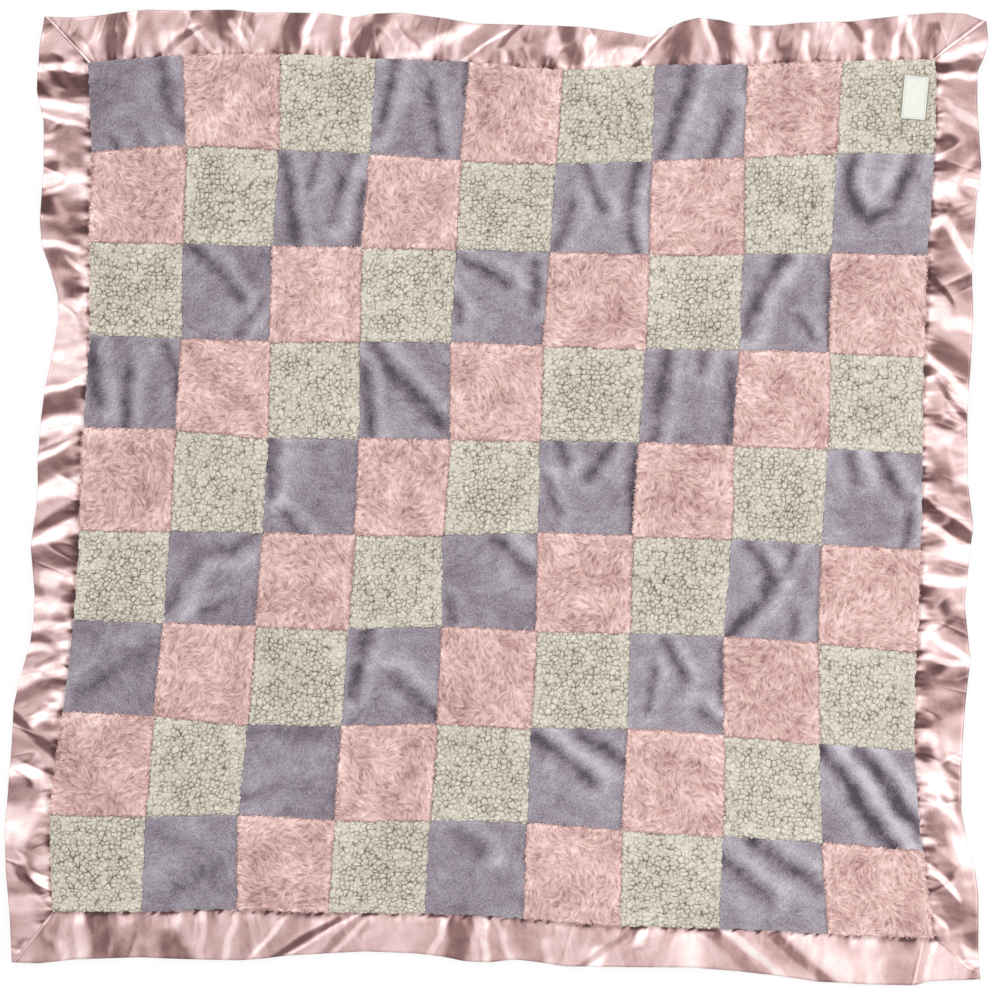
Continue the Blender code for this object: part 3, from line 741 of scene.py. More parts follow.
def add_sherpa_patch(row, column):
    """Curled pile in nubs, pressed flat under the label, with the label's painted shadow round it."""
    patch = Patch(row, column, SHERPA_GRID)
    across, down = patch.across + patch.clouds(NUB_BEND, 5), patch.down + patch.clouds(NUB_BEND, 9)
    nubs, tone = nub_field(across, down, patch.seed)
    swell = patch.clouds(SHERPA_SWELL, 20)
    flatness = patch.clouds(FLAT_SPOTS, 24, 1) + patch.clouds(FLAT_AREAS, 25, 1)
    flat = FLAT_MOST * smooth_step(*FLAT_STEP, flatness)
    flat += FLAT_RIM_MOST * patch.near_edge(FLAT_RIM)
    sunk = NUB_CLEFT * (1 - CLEFT_FLATTENED * flat) * (1 - nubs)
    height = patch.rounded(NUB_EDGE_WAVE * (nubs - 0.5)) - sunk + SHERPA_SWELL_RISE * swell
    height += NUB_RISE * tone * nubs
    edge = patch.near_edge(SHERPA_RIM)
    # Painted shade in the clefts between the nubs; the nubs' own tones differ at random
    cleft = (1 - flat) * (1 - RIM_CLEFT_SHARE * edge) * (1 - smooth_step(*CLEFT_STEP, nubs))
    shade = SHERPA_SHADE - CLEFT_PAINTED_SHADE * cleft + NUB_TONE * tone
    # Painted light on the rising swells, and a lighter rim, partly fuzz and partly painted light
    shade = shade + SHERPA_SWELL_PAINTED_LIGHT * swell + SHERPA_RIM_FUZZ_AND_LIGHT * edge
    if (row, column) == (0, PATCHES - 1):
        pressed = label_nearness(patch.x, patch.y)
        height = height * (1 - pressed) + (PATCH_FOOT + PRESSED_PILE) * pressed
        # Painted shadow of the label on the pressed pile under it and a few millimetres round it
        shade = shade * (1 - pressed) + PAINTED_LABEL_SHADOW * pressed
    patch.add(height, shade)


def label_nearness(x, y):
    """1 under the label, falling to 0 a few millimetres outside it."""
    centre = to_world(LABEL_CENTRE_PIXELS)
    turn = math.radians(LABEL_TILT_DEGREES)
    dx, dy = x - centre[0], y - centre[1]
    wide = np.abs(dx * math.cos(turn) + dy * math.sin(turn)) - LABEL_WIDTH / 2
    long = np.abs(-dx * math.sin(turn) + dy * math.cos(turn)) - LABEL_LENGTH / 2
    return 1 - smooth_step(-0.0005, 0.003, np.maximum(wide, long))


# Plush: the pile lies in swirls, with short locks that stand out of it and lean over the seams

STRAND_SIZE, STRAND_LENGTH = 0.0008, 0.003
TUFT_SIZE, TUFT_LENGTH = 0.0019, 0.004
STRAND_RISE, TUFT_RISE = 0.00016, 0.0002
SWIRL_SIZE, SWIRL_TURN = 0.026, 2.6
FINE_SWIRL_SIZE, FINE_SWIRL_TURN = 0.005, 0.7
SWELL_SIZE, SWELL_RISE, SWELL_PAINTED_LIGHT = 0.02, 0.0006, 0.17
GROUND_DROP = 0.0012
PLUSH_SHADE, STRAND_TONE, TUFT_TONE, PLUSH_BLOOM = 0.45, 0.09, 0.06, (0.008, 0.1)
PLUSH_RIM, PLUSH_RIM_FUZZ_AND_LIGHT = 0.0035, 0.2

# Locks: where their roots lie as shares of the patch, how far their angles stray and curl, and their tones.
# A pair is the least and the most here. Their shape is places along them as shares of length, girth and lift
LOCK_ROOTS = (0.02, 0.98)
LOCK_STRAY, EDGE_LOCK_STRAY, LOCK_CURL = 0.3, 0.6, 0.6
LOCK_SHADE, LOCK_TONE_SPREAD = 0.48, 0.08
LOCK_ROOT_SHADE, LOCK_TONE_RISE, LOCK_TIP_TONE = 0.08, 0.18, 0.1
LOCKS_PER_PATCH = 420
EDGE_LOCKS_PER_PATCH = 420
LOCK_LENGTHS = (0.002, 0.0036)
LOCK_WIDTHS = (0.00045, 0.0009)
LOCK_RISES = (0.0001, 0.0004)
LOCK_SHAPE = ((0.0, 0.8, 0.0), (0.4, 1.0, 0.8), (0.8, 0.6, 0.9))
LOCK_TIP_LIFT = 0.4
EDGE_LOCK_LENGTH_SHARE = 0.75
EDGE_LOCK_FUZZ_AND_LIGHT = 0.12
EDGE_LOCK_ROOTS = (0.003, 0.02)


def nap_direction(x, y, seed):
    """Angle in which the plush lies at a place."""
    base = np.random.default_rng(seed).uniform(0, 2 * math.pi)
    swirl = SWIRL_TURN * cloud(x, y, SWIRL_SIZE, seed + 1, 2)
    return base + swirl + FINE_SWIRL_TURN * cloud(x, y, FINE_SWIRL_SIZE, seed + 2, 1)


def plush_ground(rim, swell):
    """Height of the combed pile by distance from the patch's edge."""
    crown = PATCH_FOOT + PILE_HEIGHTS["pink_plush"] - GROUND_DROP
    return rolled(rim, "pink_plush", crown) + SWELL_RISE * swell


def add_plush_patch(row, column):
    """Combed pile with its locks."""
    patch = Patch(row, column, PLUSH_GRID)
    x, y, seed = patch.x, patch.y, patch.seed
    angle = nap_direction(x, y, seed)
    strands = combed(x, y, angle, STRAND_SIZE, STRAND_LENGTH, seed + 11)
    tufts = combed(x, y, angle, TUFT_SIZE, TUFT_LENGTH, seed + 12)
    swell = cloud(x, y, SWELL_SIZE, seed + 20)
    height = plush_ground(patch.edge_distance, swell) + STRAND_RISE * strands + TUFT_RISE * tufts
    shade = PLUSH_SHADE + STRAND_TONE * strands + TUFT_TONE * tufts
    # Painted light on the rising swells, and a lighter rim, partly fuzz and partly painted light
    shade = shade + SWELL_PAINTED_LIGHT * swell + patch.clouds(PLUSH_BLOOM, 14)
    shade += PLUSH_RIM_FUZZ_AND_LIGHT * patch.near_edge(PLUSH_RIM)
    ground = patch.add(height, shade)
    add_locks(patch)


def add_locks(patch):
    """Short tapered locks of pile, in the direction of the nap, and leaning outwards along the seams."""
    random = np.random.default_rng(patch.seed + 50)
    count = LOCKS_PER_PATCH + EDGE_LOCKS_PER_PATCH
    down, across = random.uniform(*LOCK_ROOTS, (2, count))
    near_edge = random.uniform(*EDGE_LOCK_ROOTS, EDGE_LOCKS_PER_PATCH)
    edge = random.integers(0, 4, EDGE_LOCKS_PER_PATCH)
    for table, sides in ((down, (0, 1)), (across, (2, 3))):
        part = table[LOCKS_PER_PATCH:]
        part[:] = np.where(edge == sides[0], near_edge, np.where(edge == sides[1], 1 - near_edge, part))
    root = waved(at_shares(patch.row, patch.column, down, across))
    x, y, seed = root[:, 0], root[:, 1], patch.seed
    length, width = random.uniform(*LOCK_LENGTHS, count), random.uniform(*LOCK_WIDTHS, count)
    angle = nap_direction(x, y, seed) + random.normal(0, LOCK_STRAY, count)
    outwards = np.array([0.5, -0.5, 1.0, 0.0])[edge] * math.pi
    angle[LOCKS_PER_PATCH:] = outwards + random.normal(0, EDGE_LOCK_STRAY, EDGE_LOCKS_PER_PATCH)
    length[LOCKS_PER_PATCH:] *= EDGE_LOCK_LENGTH_SHARE
    curl = random.normal(0, LOCK_CURL, count)
    swell = cloud(x, y, SWELL_SIZE, seed + 20)
    ground = plush_ground(from_sides(down, across, 1) * PATCH_SIDE, swell)
    rise = random.uniform(*LOCK_RISES, count)
    # Each lock's own tone at random, with the swells' painted light; locks at the seams lighter, partly fuzz
    # and partly painted light
    tone = LOCK_SHADE + LOCK_TONE_SPREAD * random.normal(0, 1, count) + SWELL_PAINTED_LIGHT * swell
    tone[LOCKS_PER_PATCH:] += EDGE_LOCK_FUZZ_AND_LIGHT
    rings, tones, place, last = [], [], root, 0.0

    def step_on(share):
        heading = angle + curl * share
        forwards = np.stack([np.cos(heading), np.sin(heading)], -1)
        return heading, place + (length * (share - last))[:, None] * forwards

    for share, girth, lift in LOCK_SHAPE:
        heading, place = step_on(share)
        last = share
        side = np.stack([-np.sin(heading), np.cos(heading)], -1) * (width * girth / 2)[:, None]
        level, thick = ground + rise * lift, width * girth * 0.5
        low = level - thick
        corners = [np.column_stack([place - side, low]), np.column_stack([place + side, low])]
        rings.append(np.stack([*corners, np.column_stack([place, level + thick])], 1))
        # Painted shade at each lock's root, lighter towards its tip
        tones.append(np.repeat((tone - LOCK_ROOT_SHADE + LOCK_TONE_RISE * share)[:, None], 3, 1))
    tip = step_on(1)[1]
    points = np.concatenate(rings + [np.column_stack([tip, ground + rise * LOCK_TIP_LIFT])[:, None]], 1)
    shade = np.concatenate(tones + [(tone + LOCK_TIP_TONE)[:, None]], 1)
    last_ring, size = 3 * (len(LOCK_SHAPE) - 1), 3 * len(LOCK_SHAPE) + 1
    quads, triangles = [], [[0, 2, 1]]
    for side in range(3):
        after = (side + 1) % 3
        for low in range(0, last_ring, 3):
            quads.append([low + side, low + after, low + 3 + after, low + 3 + side])
        triangles.append([last_ring + side, last_ring + after, size - 1])
    faces = [repeated(block, count, size) for block in (quads, triangles)]
    name = f"pink_plush_locks_r{patch.row + 1}_c{patch.column + 1}"
    piece = add_mesh(name, points.reshape(-1, 3), faces, MATERIALS["pink_plush"], shade=shade)
    dress(piece, "pink_plush", (patch.row, patch.row + 1))
    return piece


# Satin border

# Folds of each side: place on the seam and on the outer edge in pixels along the side, half width in pixels,
# slope from -1 (turned from the light) to 1 (turned to it), and the shares across where it starts and ends,
# where it doesn't reach all the way
# Slopes are painted into the satin's colour too: painted shade turned from the light, painted highlight
# turned to it
TOP_FOLDS = (
    (97, 88, 8, 0.2), (115, 121, 11, -0.95), (128, 134, 4, 0.8), (143, 148, 9, -0.15, 0.3, 1),
    (158, 222, 5, -0.9, 0, 0.62), (172, 165, 8, 0.4, 0, 0.5), (217, 175, 3, 1.0, 0, 0.62),
    (202, 196, 6, -0.3, 0, 0.4), (225, 218, 14, -0.85, 0.55, 1), (244, 192, 5, -0.5, 0.15, 0.7),
    (250, 226, 3, 1.0, 0, 0.75), (262, 268, 12, 0.15), (281, 298, 8, -0.75), (296, 300, 4, -0.8, 0, 0.4),
    (301, 314, 3, 0.9), (316, 326, 8, 0.2), (330, 338, 4, -0.2), (344, 347, 3, 0.8), (352, 385, 9, -1.0),
    (390, 400, 11, 0.25), (440, 438, 20, -0.5, 0.68, 1), (415, 474, 10, 0.85, 0.05, 0.95),
    (441, 452, 9, -0.45, 0, 0.4), (454, 462, 3, 0.6, 0, 0.7), (464, 492, 9, -0.35),
    (459, 516, 2.5, 0.7, 0, 0.8), (482, 521, 2.5, -0.9, 0.45, 1), (495, 497, 4, -0.6, 0, 0.3),
    (503, 505, 3, 0.7, 0, 0.3), (509, 512, 3, -0.6, 0, 0.3), (530, 534, 10, -0.35, 0.15, 0.8),
    (546, 548, 3, -0.5, 0.75, 1), (549, 553, 6, -0.5, 0, 0.25), (555, 552, 5, 0.4, 0.3, 1),
    (576, 566, 7, -0.8, 0.15, 1), (590, 592, 5, 0.9, 0.1, 0.8), (592, 628, 9, -0.45, 0.55, 0.95),
    (611, 640, 16, 0.95, 0, 0.6), (627, 664, 2.5, 0.7), (634, 670, 2.5, -0.6), (672, 690, 13, -0.95),
    (700, 697, 6, 0.15), (720, 703, 3, 1.0), (727, 719, 10, -0.85), (745, 742, 7, 0.8),
    (757, 756, 4, -0.4, 0.4, 1), (765, 768, 7, 0.8, 0, 0.8), (790, 788, 12, -0.35),
    (806, 804, 3, 0.9, 0, 0.75), (819, 826, 8, -0.5, 0, 0.42), (832, 828, 12, 0.65, 0.3, 1),
    (880, 848, 4, -0.8, 0.45, 1), (868, 868, 4, 0.9, 0, 0.7), (881, 880, 9, -0.5), (893, 902, 3, 1.0),
    (904, 903, 6, -0.4, 0, 0.8), (917, 904, 3, 0.9), (931, 933, 6, -0.85, 0, 0.75), (935, 955, 9, 0.2),
)
RIGHT_FOLDS = (
    (60, 28, 6, -0.5, 0.7, 1), (62, 44, 5, 0.8), (69, 64, 5, -0.85), (76, 77, 3, 1.0), (88, 92, 9, -0.25),
    (97, 126, 5, 0.7, 0.3, 1), (118, 120, 12, -0.3, 0.15, 0.5), (150, 152, 20, -0.65, 0.15, 1),
    (167, 169, 5, -0.5, 0, 0.5), (194, 179, 9, 1.0), (190, 190, 4, -0.2, 0.5, 0.9),
    (212, 212, 5, -0.85, 0, 0.28), (225, 226, 7, -0.55, 0.65, 1), (202, 262, 6, 1.0, 0.15, 1),
    (234, 240, 8, -0.55, 0, 0.45), (238, 290, 17, -0.5, 0.1, 1), (271, 326, 3.5, -0.95, 0, 0.55),
    (303, 335, 11, 0.85, 0, 0.5), (318, 327, 6, 0.85, 0.4, 1), (338, 371, 11, -0.85), (352, 396, 4, 0.95),
    (366, 420, 4, -0.8, 0.3, 1), (398, 400, 8, 0.85, 0.6, 1), (385, 390, 7, 0.3, 0, 0.45),
    (417, 431, 6, -0.85, 0, 0.72), (440, 441, 5, -0.4, 0.7, 1), (433, 445, 7, 0.8, 0.1, 1),
    (428, 440, 2.5, -0.5, 0, 0.2), (447, 458, 2.5, -0.6, 0, 0.2), (458, 500, 13, -0.65, 0.2, 1),
    (465, 470, 9, 0.6, 0, 0.25), (480, 481, 5, 0.9, 0.7, 1), (495, 528, 3, 0.8, 0.2, 1),
    (505, 538, 8, -0.95), (523, 550, 4, 1.0), (537, 545, 8, -0.35, 0, 0.45), (553, 556, 7, 1.0),
    (565, 570, 7, -0.4, 0.2, 1), (580, 582, 5, 1.0), (593, 628, 14, -0.75, 0.05, 1),
    (612, 612, 6, 0.8, 0.65, 0.95), (632, 645, 13, 0.9, 0, 0.35), (626, 662, 4, 0.9, 0.2, 1),
    (663, 681, 13, -0.9), (656, 665, 3, 0.8, 0.1, 1), (690, 694, 10, -0.2, 0, 0.5), (720, 701, 9, -0.6),
    (736, 740, 4, 1.0, 0, 0.4), (748, 750, 9, 0.4, 0.4, 1), (753, 753, 6, -0.9, 0.12, 0.42),
    (772, 814, 14, 1.0, 0, 0.85), (795, 798, 18, -0.35, 0.82, 1), (818, 852, 13, -0.55, 0, 0.65),
    (848, 850, 16, 1.0, 0.6, 1), (842, 842, 4, 0.7, 0, 0.25), (850, 890, 9, -0.5, 0.1, 0.7),
    (863, 914, 4, 1.0, 0, 0.6), (892, 930, 18, -0.95), (912, 955, 3, 0.8, 0, 0.3),
    (925, 962, 6, 0.7, 0.7, 1),
)
BOTTOM_FOLDS = (
    (56, 40, 8, -0.35), (63, 64, 4, 0.27), (70, 74, 3, -0.09), (78, 84, 8, 0.6), (95, 108, 17, -0.75),
    (126, 126, 6, 0.5, 0, 0.3), (140, 142, 14, -0.25), (143, 143, 5, -0.7, 0.75, 1),
    (166, 178, 13, -0.85, 0.42, 1), (174, 178, 4, -0.3, 0, 0.15), (184, 190, 9, 0.4, 0, 0.7),
    (205, 200, 3, 0.48), (214, 212, 6, -0.15), (238, 224, 3, 0.54), (246, 250, 4, -0.3, 0, 0.3),
    (258, 240, 8, -0.15), (292, 250, 3, 0.54), (300, 268, 9, -0.35), (352, 273, 6, -0.95),
    (360, 289, 3, 0.36), (352, 312, 6, 0.2), (364, 322, 5, -0.4), (373, 334, 3, 0.36),
    (340, 352, 4, -0.3, 0, 0.15), (395, 390, 18, 0.2), (422, 422, 8, 0.6, 0, 0.15), (412, 410, 9, 0.1),
    (449, 431, 3, 0.54), (461, 455, 10, -0.95), (477, 474, 3, 0.3), (484, 486, 3, 0.6),
    (497, 497, 7, -0.3, 0.1, 1), (495, 511, 3, 0.6), (528, 530, 13, -0.3), (546, 548, 4, 0.45, 0.45, 1),
    (565, 568, 10, 0.2), (641, 580, 5, -0.45), (615, 592, 7, 1.0, 0.55, 1), (642, 636, 5, 1.0, 0, 0.45),
    (633, 628, 4, -0.3, 0, 0.4), (660, 662, 9, 0.3), (680, 667, 3, 0.48), (672, 655, 6, -0.25),
    (690, 688, 12, 0.9, 0.15, 1), (707, 755, 9, -0.55), (723, 782, 6, 0.9), (776, 790, 3, -0.57, 0, 0.35),
    (752, 800, 7, -0.2, 0, 0.6), (766, 828, 8, -0.75, 0.1, 1), (800, 856, 19, 0.95),
    (856, 856, 3.5, -0.24, 0.65, 1), (864, 864, 3, -0.24, 0.75, 1), (865, 874, 11, 0.65),
    (900, 898, 14, -0.25),
)
CLOSING_FOLDS = ((945, 945, 20, 0.45), (970, 972, 4, -0.6, 0.6, 1), (935, 925, 3, 0.9))
LEFT_FOLDS = (
    (60, 36, 9, 0.1), (58, 60, 5, -0.7), (69, 66, 4, 0.95), (86, 84, 11, -0.95), (113, 103, 5, 1.0),
    (120, 110, 4, 0.1), (128, 116, 2.5, 1.0), (139, 133, 13, -0.5), (137, 137, 3, 0.7, 0.8, 1),
    (154, 154, 3, 0.7, 0.8, 1), (160, 160, 7, -0.6, 0.2, 0.5), (168, 168, 5, -0.7, 0.72, 1),
    (190, 176, 11, 1.0), (225, 212, 20, -0.9), (250, 243, 3, 1.0, 0.25, 1),
    (262, 258, 9, -0.75, 0.35, 0.95), (275, 245, 3, 0.9, 0, 0.5), (265, 270, 5, 0.5, 0, 0.2),
    (288, 292, 9, -0.75, 0.25, 0.75), (300, 310, 6, 0.8), (325, 330, 14, 0.6, 0.2, 1),
    (328, 328, 14, -0.5, 0.12, 0.28), (355, 365, 14, 0.75), (394, 408, 11, -0.9), (380, 392, 3, 0.8),
    (420, 428, 8, 1.0), (440, 441, 4, -0.6, 0.85, 1), (452, 474, 10, -0.65), (436, 460, 3, 0.8),
    (474, 478, 3, -0.4, 0, 0.3), (483, 493, 8, 0.95, 0.1, 1), (502, 534, 6, -1.0), (525, 540, 7, 1.0),
    (553, 557, 12, -0.7), (575, 580, 7, 0.7, 0, 0.8), (585, 585, 5, -0.7, 0.08, 0.35),
    (592, 591, 4, -0.5, 0.8, 1), (600, 600, 4, -0.8, 0.08, 0.3), (608, 606, 8, 0.8, 0.2, 1),
    (616, 618, 4, -0.6, 0.15, 0.5), (627, 626, 4, 0.8), (652, 635, 4, -0.55, 0.3, 1), (645, 648, 4, 0.7),
    (660, 680, 9, 0.7), (655, 668, 3, -0.6, 0.2, 0.7), (678, 697, 8, -0.65), (702, 734, 6, 0.95, 0, 0.6),
    (757, 716, 5, -0.95), (726, 728, 5, -0.4, 0, 0.45), (742, 744, 12, -0.25, 0.5, 1),
    (770, 771, 5, 0.85, 0.3, 1), (792, 792, 9, -0.5, 0.35, 1), (795, 850, 10, 0.8, 0, 0.75),
    (825, 825, 16, 0.85, 0.55, 1), (848, 847, 5, -0.5, 0, 0.5), (906, 858, 5, -0.95, 0, 0.8),
    (868, 868, 14, -0.4, 0.6, 0.72), (880, 872, 4, 0.6, 0.05, 0.35), (866, 875, 9, 0.2, 0.78, 1),
    (900, 905, 7, 0.4), (893, 885, 5, -0.3),
)

SATIN_THICK = 0.0012
SATIN_LOW = 0.0022
SATIN_HIGH = 0.0092
SATIN_CROWN = 0.0022
SATIN_GRID_ALONG = 0.0009
SATIN_GRID_ACROSS = 42
LEAST_SATIN = 0.0004
HEM_DROP = 0.0009

# Shares of the satin's width: its tuck under the patches, its seam's notches of painted shade and its rounded
# hem
SATIN_TUCK = 0.03
NOTCH_REACH = 0.08
HEM_REACH = 0.05

# Painted light and shade of the satin: their most at the seam, their rise from it and their limit, and the
# shade that they give
SEAM_PAINTED_LIGHT_MOST, TONE_RISE, PAINTED_LIGHT_LIMIT = 0.45, 4, 1.1
SHADE_MIDDLE, SHADE_RANGE = 0.5, 0.48

# The tables of heights and tones, in pixels along a side and steps across it
RUN_START, RUN_END = -10.0, 1010.0
SHARE_STEPS = 41
OUTLINE_POINTS = 600
OUTLINE_BLUR = 4
TREND_REACH = 30

FOLD_SLOPE = 0.38
FOLD_SHARPNESS = 3.2
FOLD_END_SOFTNESS = 0.1
FOLD_SWAY = 1.2
FLAT_WEIGHT = 0.12
CREST_ROOM = 4
WRINKLE_SLOPE = 0.15
WRINKLE_SIZE, FINE_WRINKLE_SIZE, FINE_WRINKLE_SHARE = 9, 4.5, 0.5
PUCKER_SIZE, FINE_PUCKER_SIZE, FINE_PUCKER_SHARE = 7.5, 3.2, 0.8
PUCKER_REACH, PUCKER_REACH_SPREAD, PUCKER_FADE = 0.24, 0.16, 1.6
NOTCH_SIZE = 4.2
SEAM_SWELL, SWELL_FROM_SEAM, SEAM_SWELL_REACH = 0.3, 0.7, 0.3

# Fine crease lines: size in pixels, turn, strength and seed
CREASE_LINES = ((15, 1.2, 0.45, 4), (9, -1.6, 0.36, 6))
CREASE_WIDTH = 0.13

# A sewn mitre, in pixels from the join: its stitched line, its ridge and the dip beyond, with painted shade
# and light
MITRE_LINE, MITRE_LINE_SHADE = 0.9, 0.9
MITRE_RIDGE, MITRE_RIDGE_WIDTH, MITRE_RIDGE_HIGHLIGHT = 2.2, 1.2, 0.8
MITRE_DIP, MITRE_DIP_SHADE = 4.6, 0.5
MITRE_REACH = 3
MITRE_RISE, MITRE_RISE_WIDTH = 0.0006, 1.5


class BorderSide:
    """One side of the border: where its seam and its outer edge run, and the heights of its folds.

    Pucker is how strong the puckers at the seam are, and notch how dark the painted shade of the hollows
    right beside it.
    """

    def __init__(self, seam, edge, crests, folds, runs_down, seed, pucker=1.1, notch=0.7):
        swap = (1, 0) if runs_down else (0, 1)
        self.seam = np.array(seam, float)[:, swap]
        self.edge = np.array(edge, float)[:, swap]
        self.runs_down = runs_down
        self.crests = np.array(crests, float)
        self.seed = seed
        self.pucker = pucker
        self.notch = notch
        self.smooth_edge()
        self.fold_heights(folds)

    def smooth_edge(self):
        """The outline as an evenly spaced smooth curve."""
        run = np.linspace(self.edge[0, 0], self.edge[-1, 0], OUTLINE_POINTS)
        level = np.interp(run, self.edge[:, 0], self.edge[:, 1])
        kernel = np.hanning(2 * OUTLINE_BLUR + 1)
        padded = np.pad(level, OUTLINE_BLUR, mode="reflect", reflect_type="odd")
        self.edge = np.column_stack([run, np.convolve(padded, kernel / kernel.sum(), "valid")])

    def fold_heights(self, folds):
        """Heights of the folds, and their tones as painted shade and highlight, over run places in pixels and
        shares across.
        """
        self.run = np.arange(RUN_START, RUN_END, 1.0)
        self.shares = np.linspace(0, 1, SHARE_STEPS)
        run, share = np.meshgrid(self.run, self.shares, indexing="ij")
        slope, weight = np.zeros(run.shape), np.full(run.shape, FLAT_WEIGHT)
        for seam, edge, half_width, tilt, *span in folds:
            start, end = span or (0, 1)
            centre = seam + (edge - seam) * share + FOLD_SWAY * np.sin(9 * share + seam)
            distance = np.abs(run - centre) / half_width
            near = np.exp(-(distance**FOLD_SHARPNESS))
            if start > 0:
                near = near * smooth_step(start - FOLD_END_SOFTNESS, start + FOLD_END_SOFTNESS, share)
            if end < 1:
                near = near * (1 - smooth_step(end - FOLD_END_SOFTNESS, end + FOLD_END_SOFTNESS, share))
            strength = near / math.sqrt(half_width)
            slope += strength * tilt
            weight += strength
        slope = slope / weight
        pucker = noise(run / PUCKER_SIZE + share, share * 1.5 + 3, self.seed)
        pucker = pucker + FINE_PUCKER_SHARE * noise(run / FINE_PUCKER_SIZE, share * 3, self.seed + 1)
        reach = PUCKER_REACH + PUCKER_REACH_SPREAD * noise(run / 13, 4.5, self.seed + 8)
        slope += self.pucker * pucker * np.exp(-((share / reach) ** PUCKER_FADE))
        wrinkle = noise(run / WRINKLE_SIZE + share * 2, share * 3 - run / 31, self.seed + 2)
        fine = noise(run / FINE_WRINKLE_SIZE - share * 4, share * 6 + run / 17, self.seed + 3)
        wrinkle += FINE_WRINKLE_SHARE * fine
        slope += WRINKLE_SLOPE * wrinkle
        for size, turn, strength, seed in CREASE_LINES:
            line = noise(run / size + turn * share, share * 0.9 + 5, self.seed + seed) / CREASE_WIDTH
            where = smooth_step(0.05, 0.5, noise(run / 21, share * 1.5 + 9, self.seed + seed + 1))
            slope += self.pucker * strength * where * line * np.exp(0.5 - line**2 / 2)
        # The tones are the slopes to the light, puckers and wrinkles with them, painted into the colour as
        # shade and highlight
        self.tone = slope
        height = np.cumsum(slope, 0) * FOLD_SLOPE * PIXEL
        kernel = np.hanning(2 * TREND_REACH + 1)
        padded = np.pad(height, ((TREND_REACH, TREND_REACH), (0, 0)), mode="edge")
        trend = np.apply_along_axis(lambda line: np.convolve(line, kernel / kernel.sum(), "valid"), 0, padded)
        self.height = height - trend

    def ends(self):
        """Where the side starts and ends, each as a seam place and an edge place."""
        return (self.seam[0, 0], self.edge[0, 0]), (self.seam[-1, 0], self.edge[-1, 0])

    def lookup(self, table, run, share):
        """Values of a table of run places and shares at points between its own."""
        row = np.clip(run - self.run[0], 0, len(self.run) - 1.001)
        column = np.clip(share * (len(self.shares) - 1), 0, len(self.shares) - 1.001)
        r, c = row.astype(int), column.astype(int)
        down, right = row - r, column - c
        upper = table[r, c] * (1 - right) + table[r, c + 1] * right
        lower = table[r + 1, c] * (1 - right) + table[r + 1, c + 1] * right
        return upper * (1 - down) + lower * down

    def lines(self, start, end):
        """Pairs of a seam place and an edge place, evenly close together, from start to end."""
        low, high = np.array(start) + CREST_ROOM, np.array(end) - CREST_ROOM
        inside = [crest for crest in self.crests if np.all(low < crest) and np.all(crest < high)]
        stops = np.array([start, *inside, end], float)
        middle = stops.mean(1)
        count = int((middle[-1] - middle[0]) * PIXEL / SATIN_GRID_ALONG)
        places = np.linspace(middle[0], middle[-1], count)
        return np.column_stack([np.interp(places, middle, stops[:, i]) for i in (0, 1)])


def add_border(name, side, start, end, rows, nodes, mitred=(0, 0)):
    """A run of the satin border, as a closed sheet ruffled over its folds, with a sewn edge at a mitre."""
    pairs = side.lines(start, end)
    share = np.linspace(-SATIN_TUCK, 1, SATIN_GRID_ACROSS)
    seam_level = np.interp(pairs[:, 0], side.seam[:, 0], side.seam[:, 1])
    edge_level = np.interp(pairs[:, 1], side.edge[:, 0], side.edge[:, 1])
    run = pairs[:, :1] + (pairs[:, 1:] - pairs[:, :1]) * share
    level = seam_level[:, None] + (edge_level - seam_level)[:, None] * share
    place = to_world(np.stack([level, run] if side.runs_down else [run, level], -1))
    grid_share = np.broadcast_to(share, run.shape)
    from_seam = np.maximum(grid_share, 0)
    rise = side.lookup(side.height, run, from_seam)
    # Painted shade and highlight of the folds, with less painted highlight near the seam
    tone = side.lookup(side.tone, run, from_seam)
    tone = np.minimum(tone, SEAM_PAINTED_LIGHT_MOST + TONE_RISE * from_seam)
    # Notches of painted shade in the hollows along the seam
    notch = noise(run / NOTCH_SIZE + 9 * grid_share, grid_share * 9 + 2.5, side.seed + 10)
    tone = tone - side.notch * smooth_step(0.1, 0.5, notch) * bell(from_seam, NOTCH_REACH)
    # Painted shade in the mitre's stitched line and the dip beyond it, and a painted highlight on its ridge
    for strength, distance in zip(mitred, (run - run[:1], run[-1:] - run)):
        if strength:
            ridge = MITRE_RIDGE_HIGHLIGHT * bell(distance - MITRE_RIDGE, MITRE_RIDGE_WIDTH)
            ridge = ridge - MITRE_LINE_SHADE * bell(distance, MITRE_LINE)
            ridge -= MITRE_DIP_SHADE * bell(distance - MITRE_DIP, MITRE_RIDGE_WIDTH)
            tone = tone * smooth_step(0, MITRE_REACH, distance) + strength * ridge
            rise = rise + MITRE_RISE * strength * bell(distance - MITRE_RIDGE, MITRE_RISE_WIDTH)
    swell = SEAM_SWELL + SWELL_FROM_SEAM * smooth_step(0, SEAM_SWELL_REACH, grid_share)
    height = SATIN_LOW + (SATIN_CROWN + rise) * swell
    height = SATIN_LOW * 0.5 + softened(height - SATIN_LOW * 0.5, SATIN_HIGH - SATIN_LOW * 0.5)
    rim = np.clip((1 - grid_share) / HEM_REACH, 0, 1)
    height = height - HEM_DROP * (1 - np.sqrt(1 - (1 - rim) ** 2))
    under = np.maximum(height - SATIN_THICK, 0.0)
    height = np.maximum(height, under + LEAST_SATIN)
    shade = SHADE_MIDDLE + SHADE_RANGE * np.clip(tone, -PAINTED_LIGHT_LIMIT, PAINTED_LIGHT_LIMIT)
    top = np.concatenate([place, height[..., None]], -1)
    low = np.concatenate([place, under[..., None]], -1)
    piece = add_cloth(f"satin_border_{name}_ruffle", top, low, MATERIALS["satin"], shade=shade)
    dress(piece, "satin", rows, *(f"satin_border_{node}" for node in nodes))


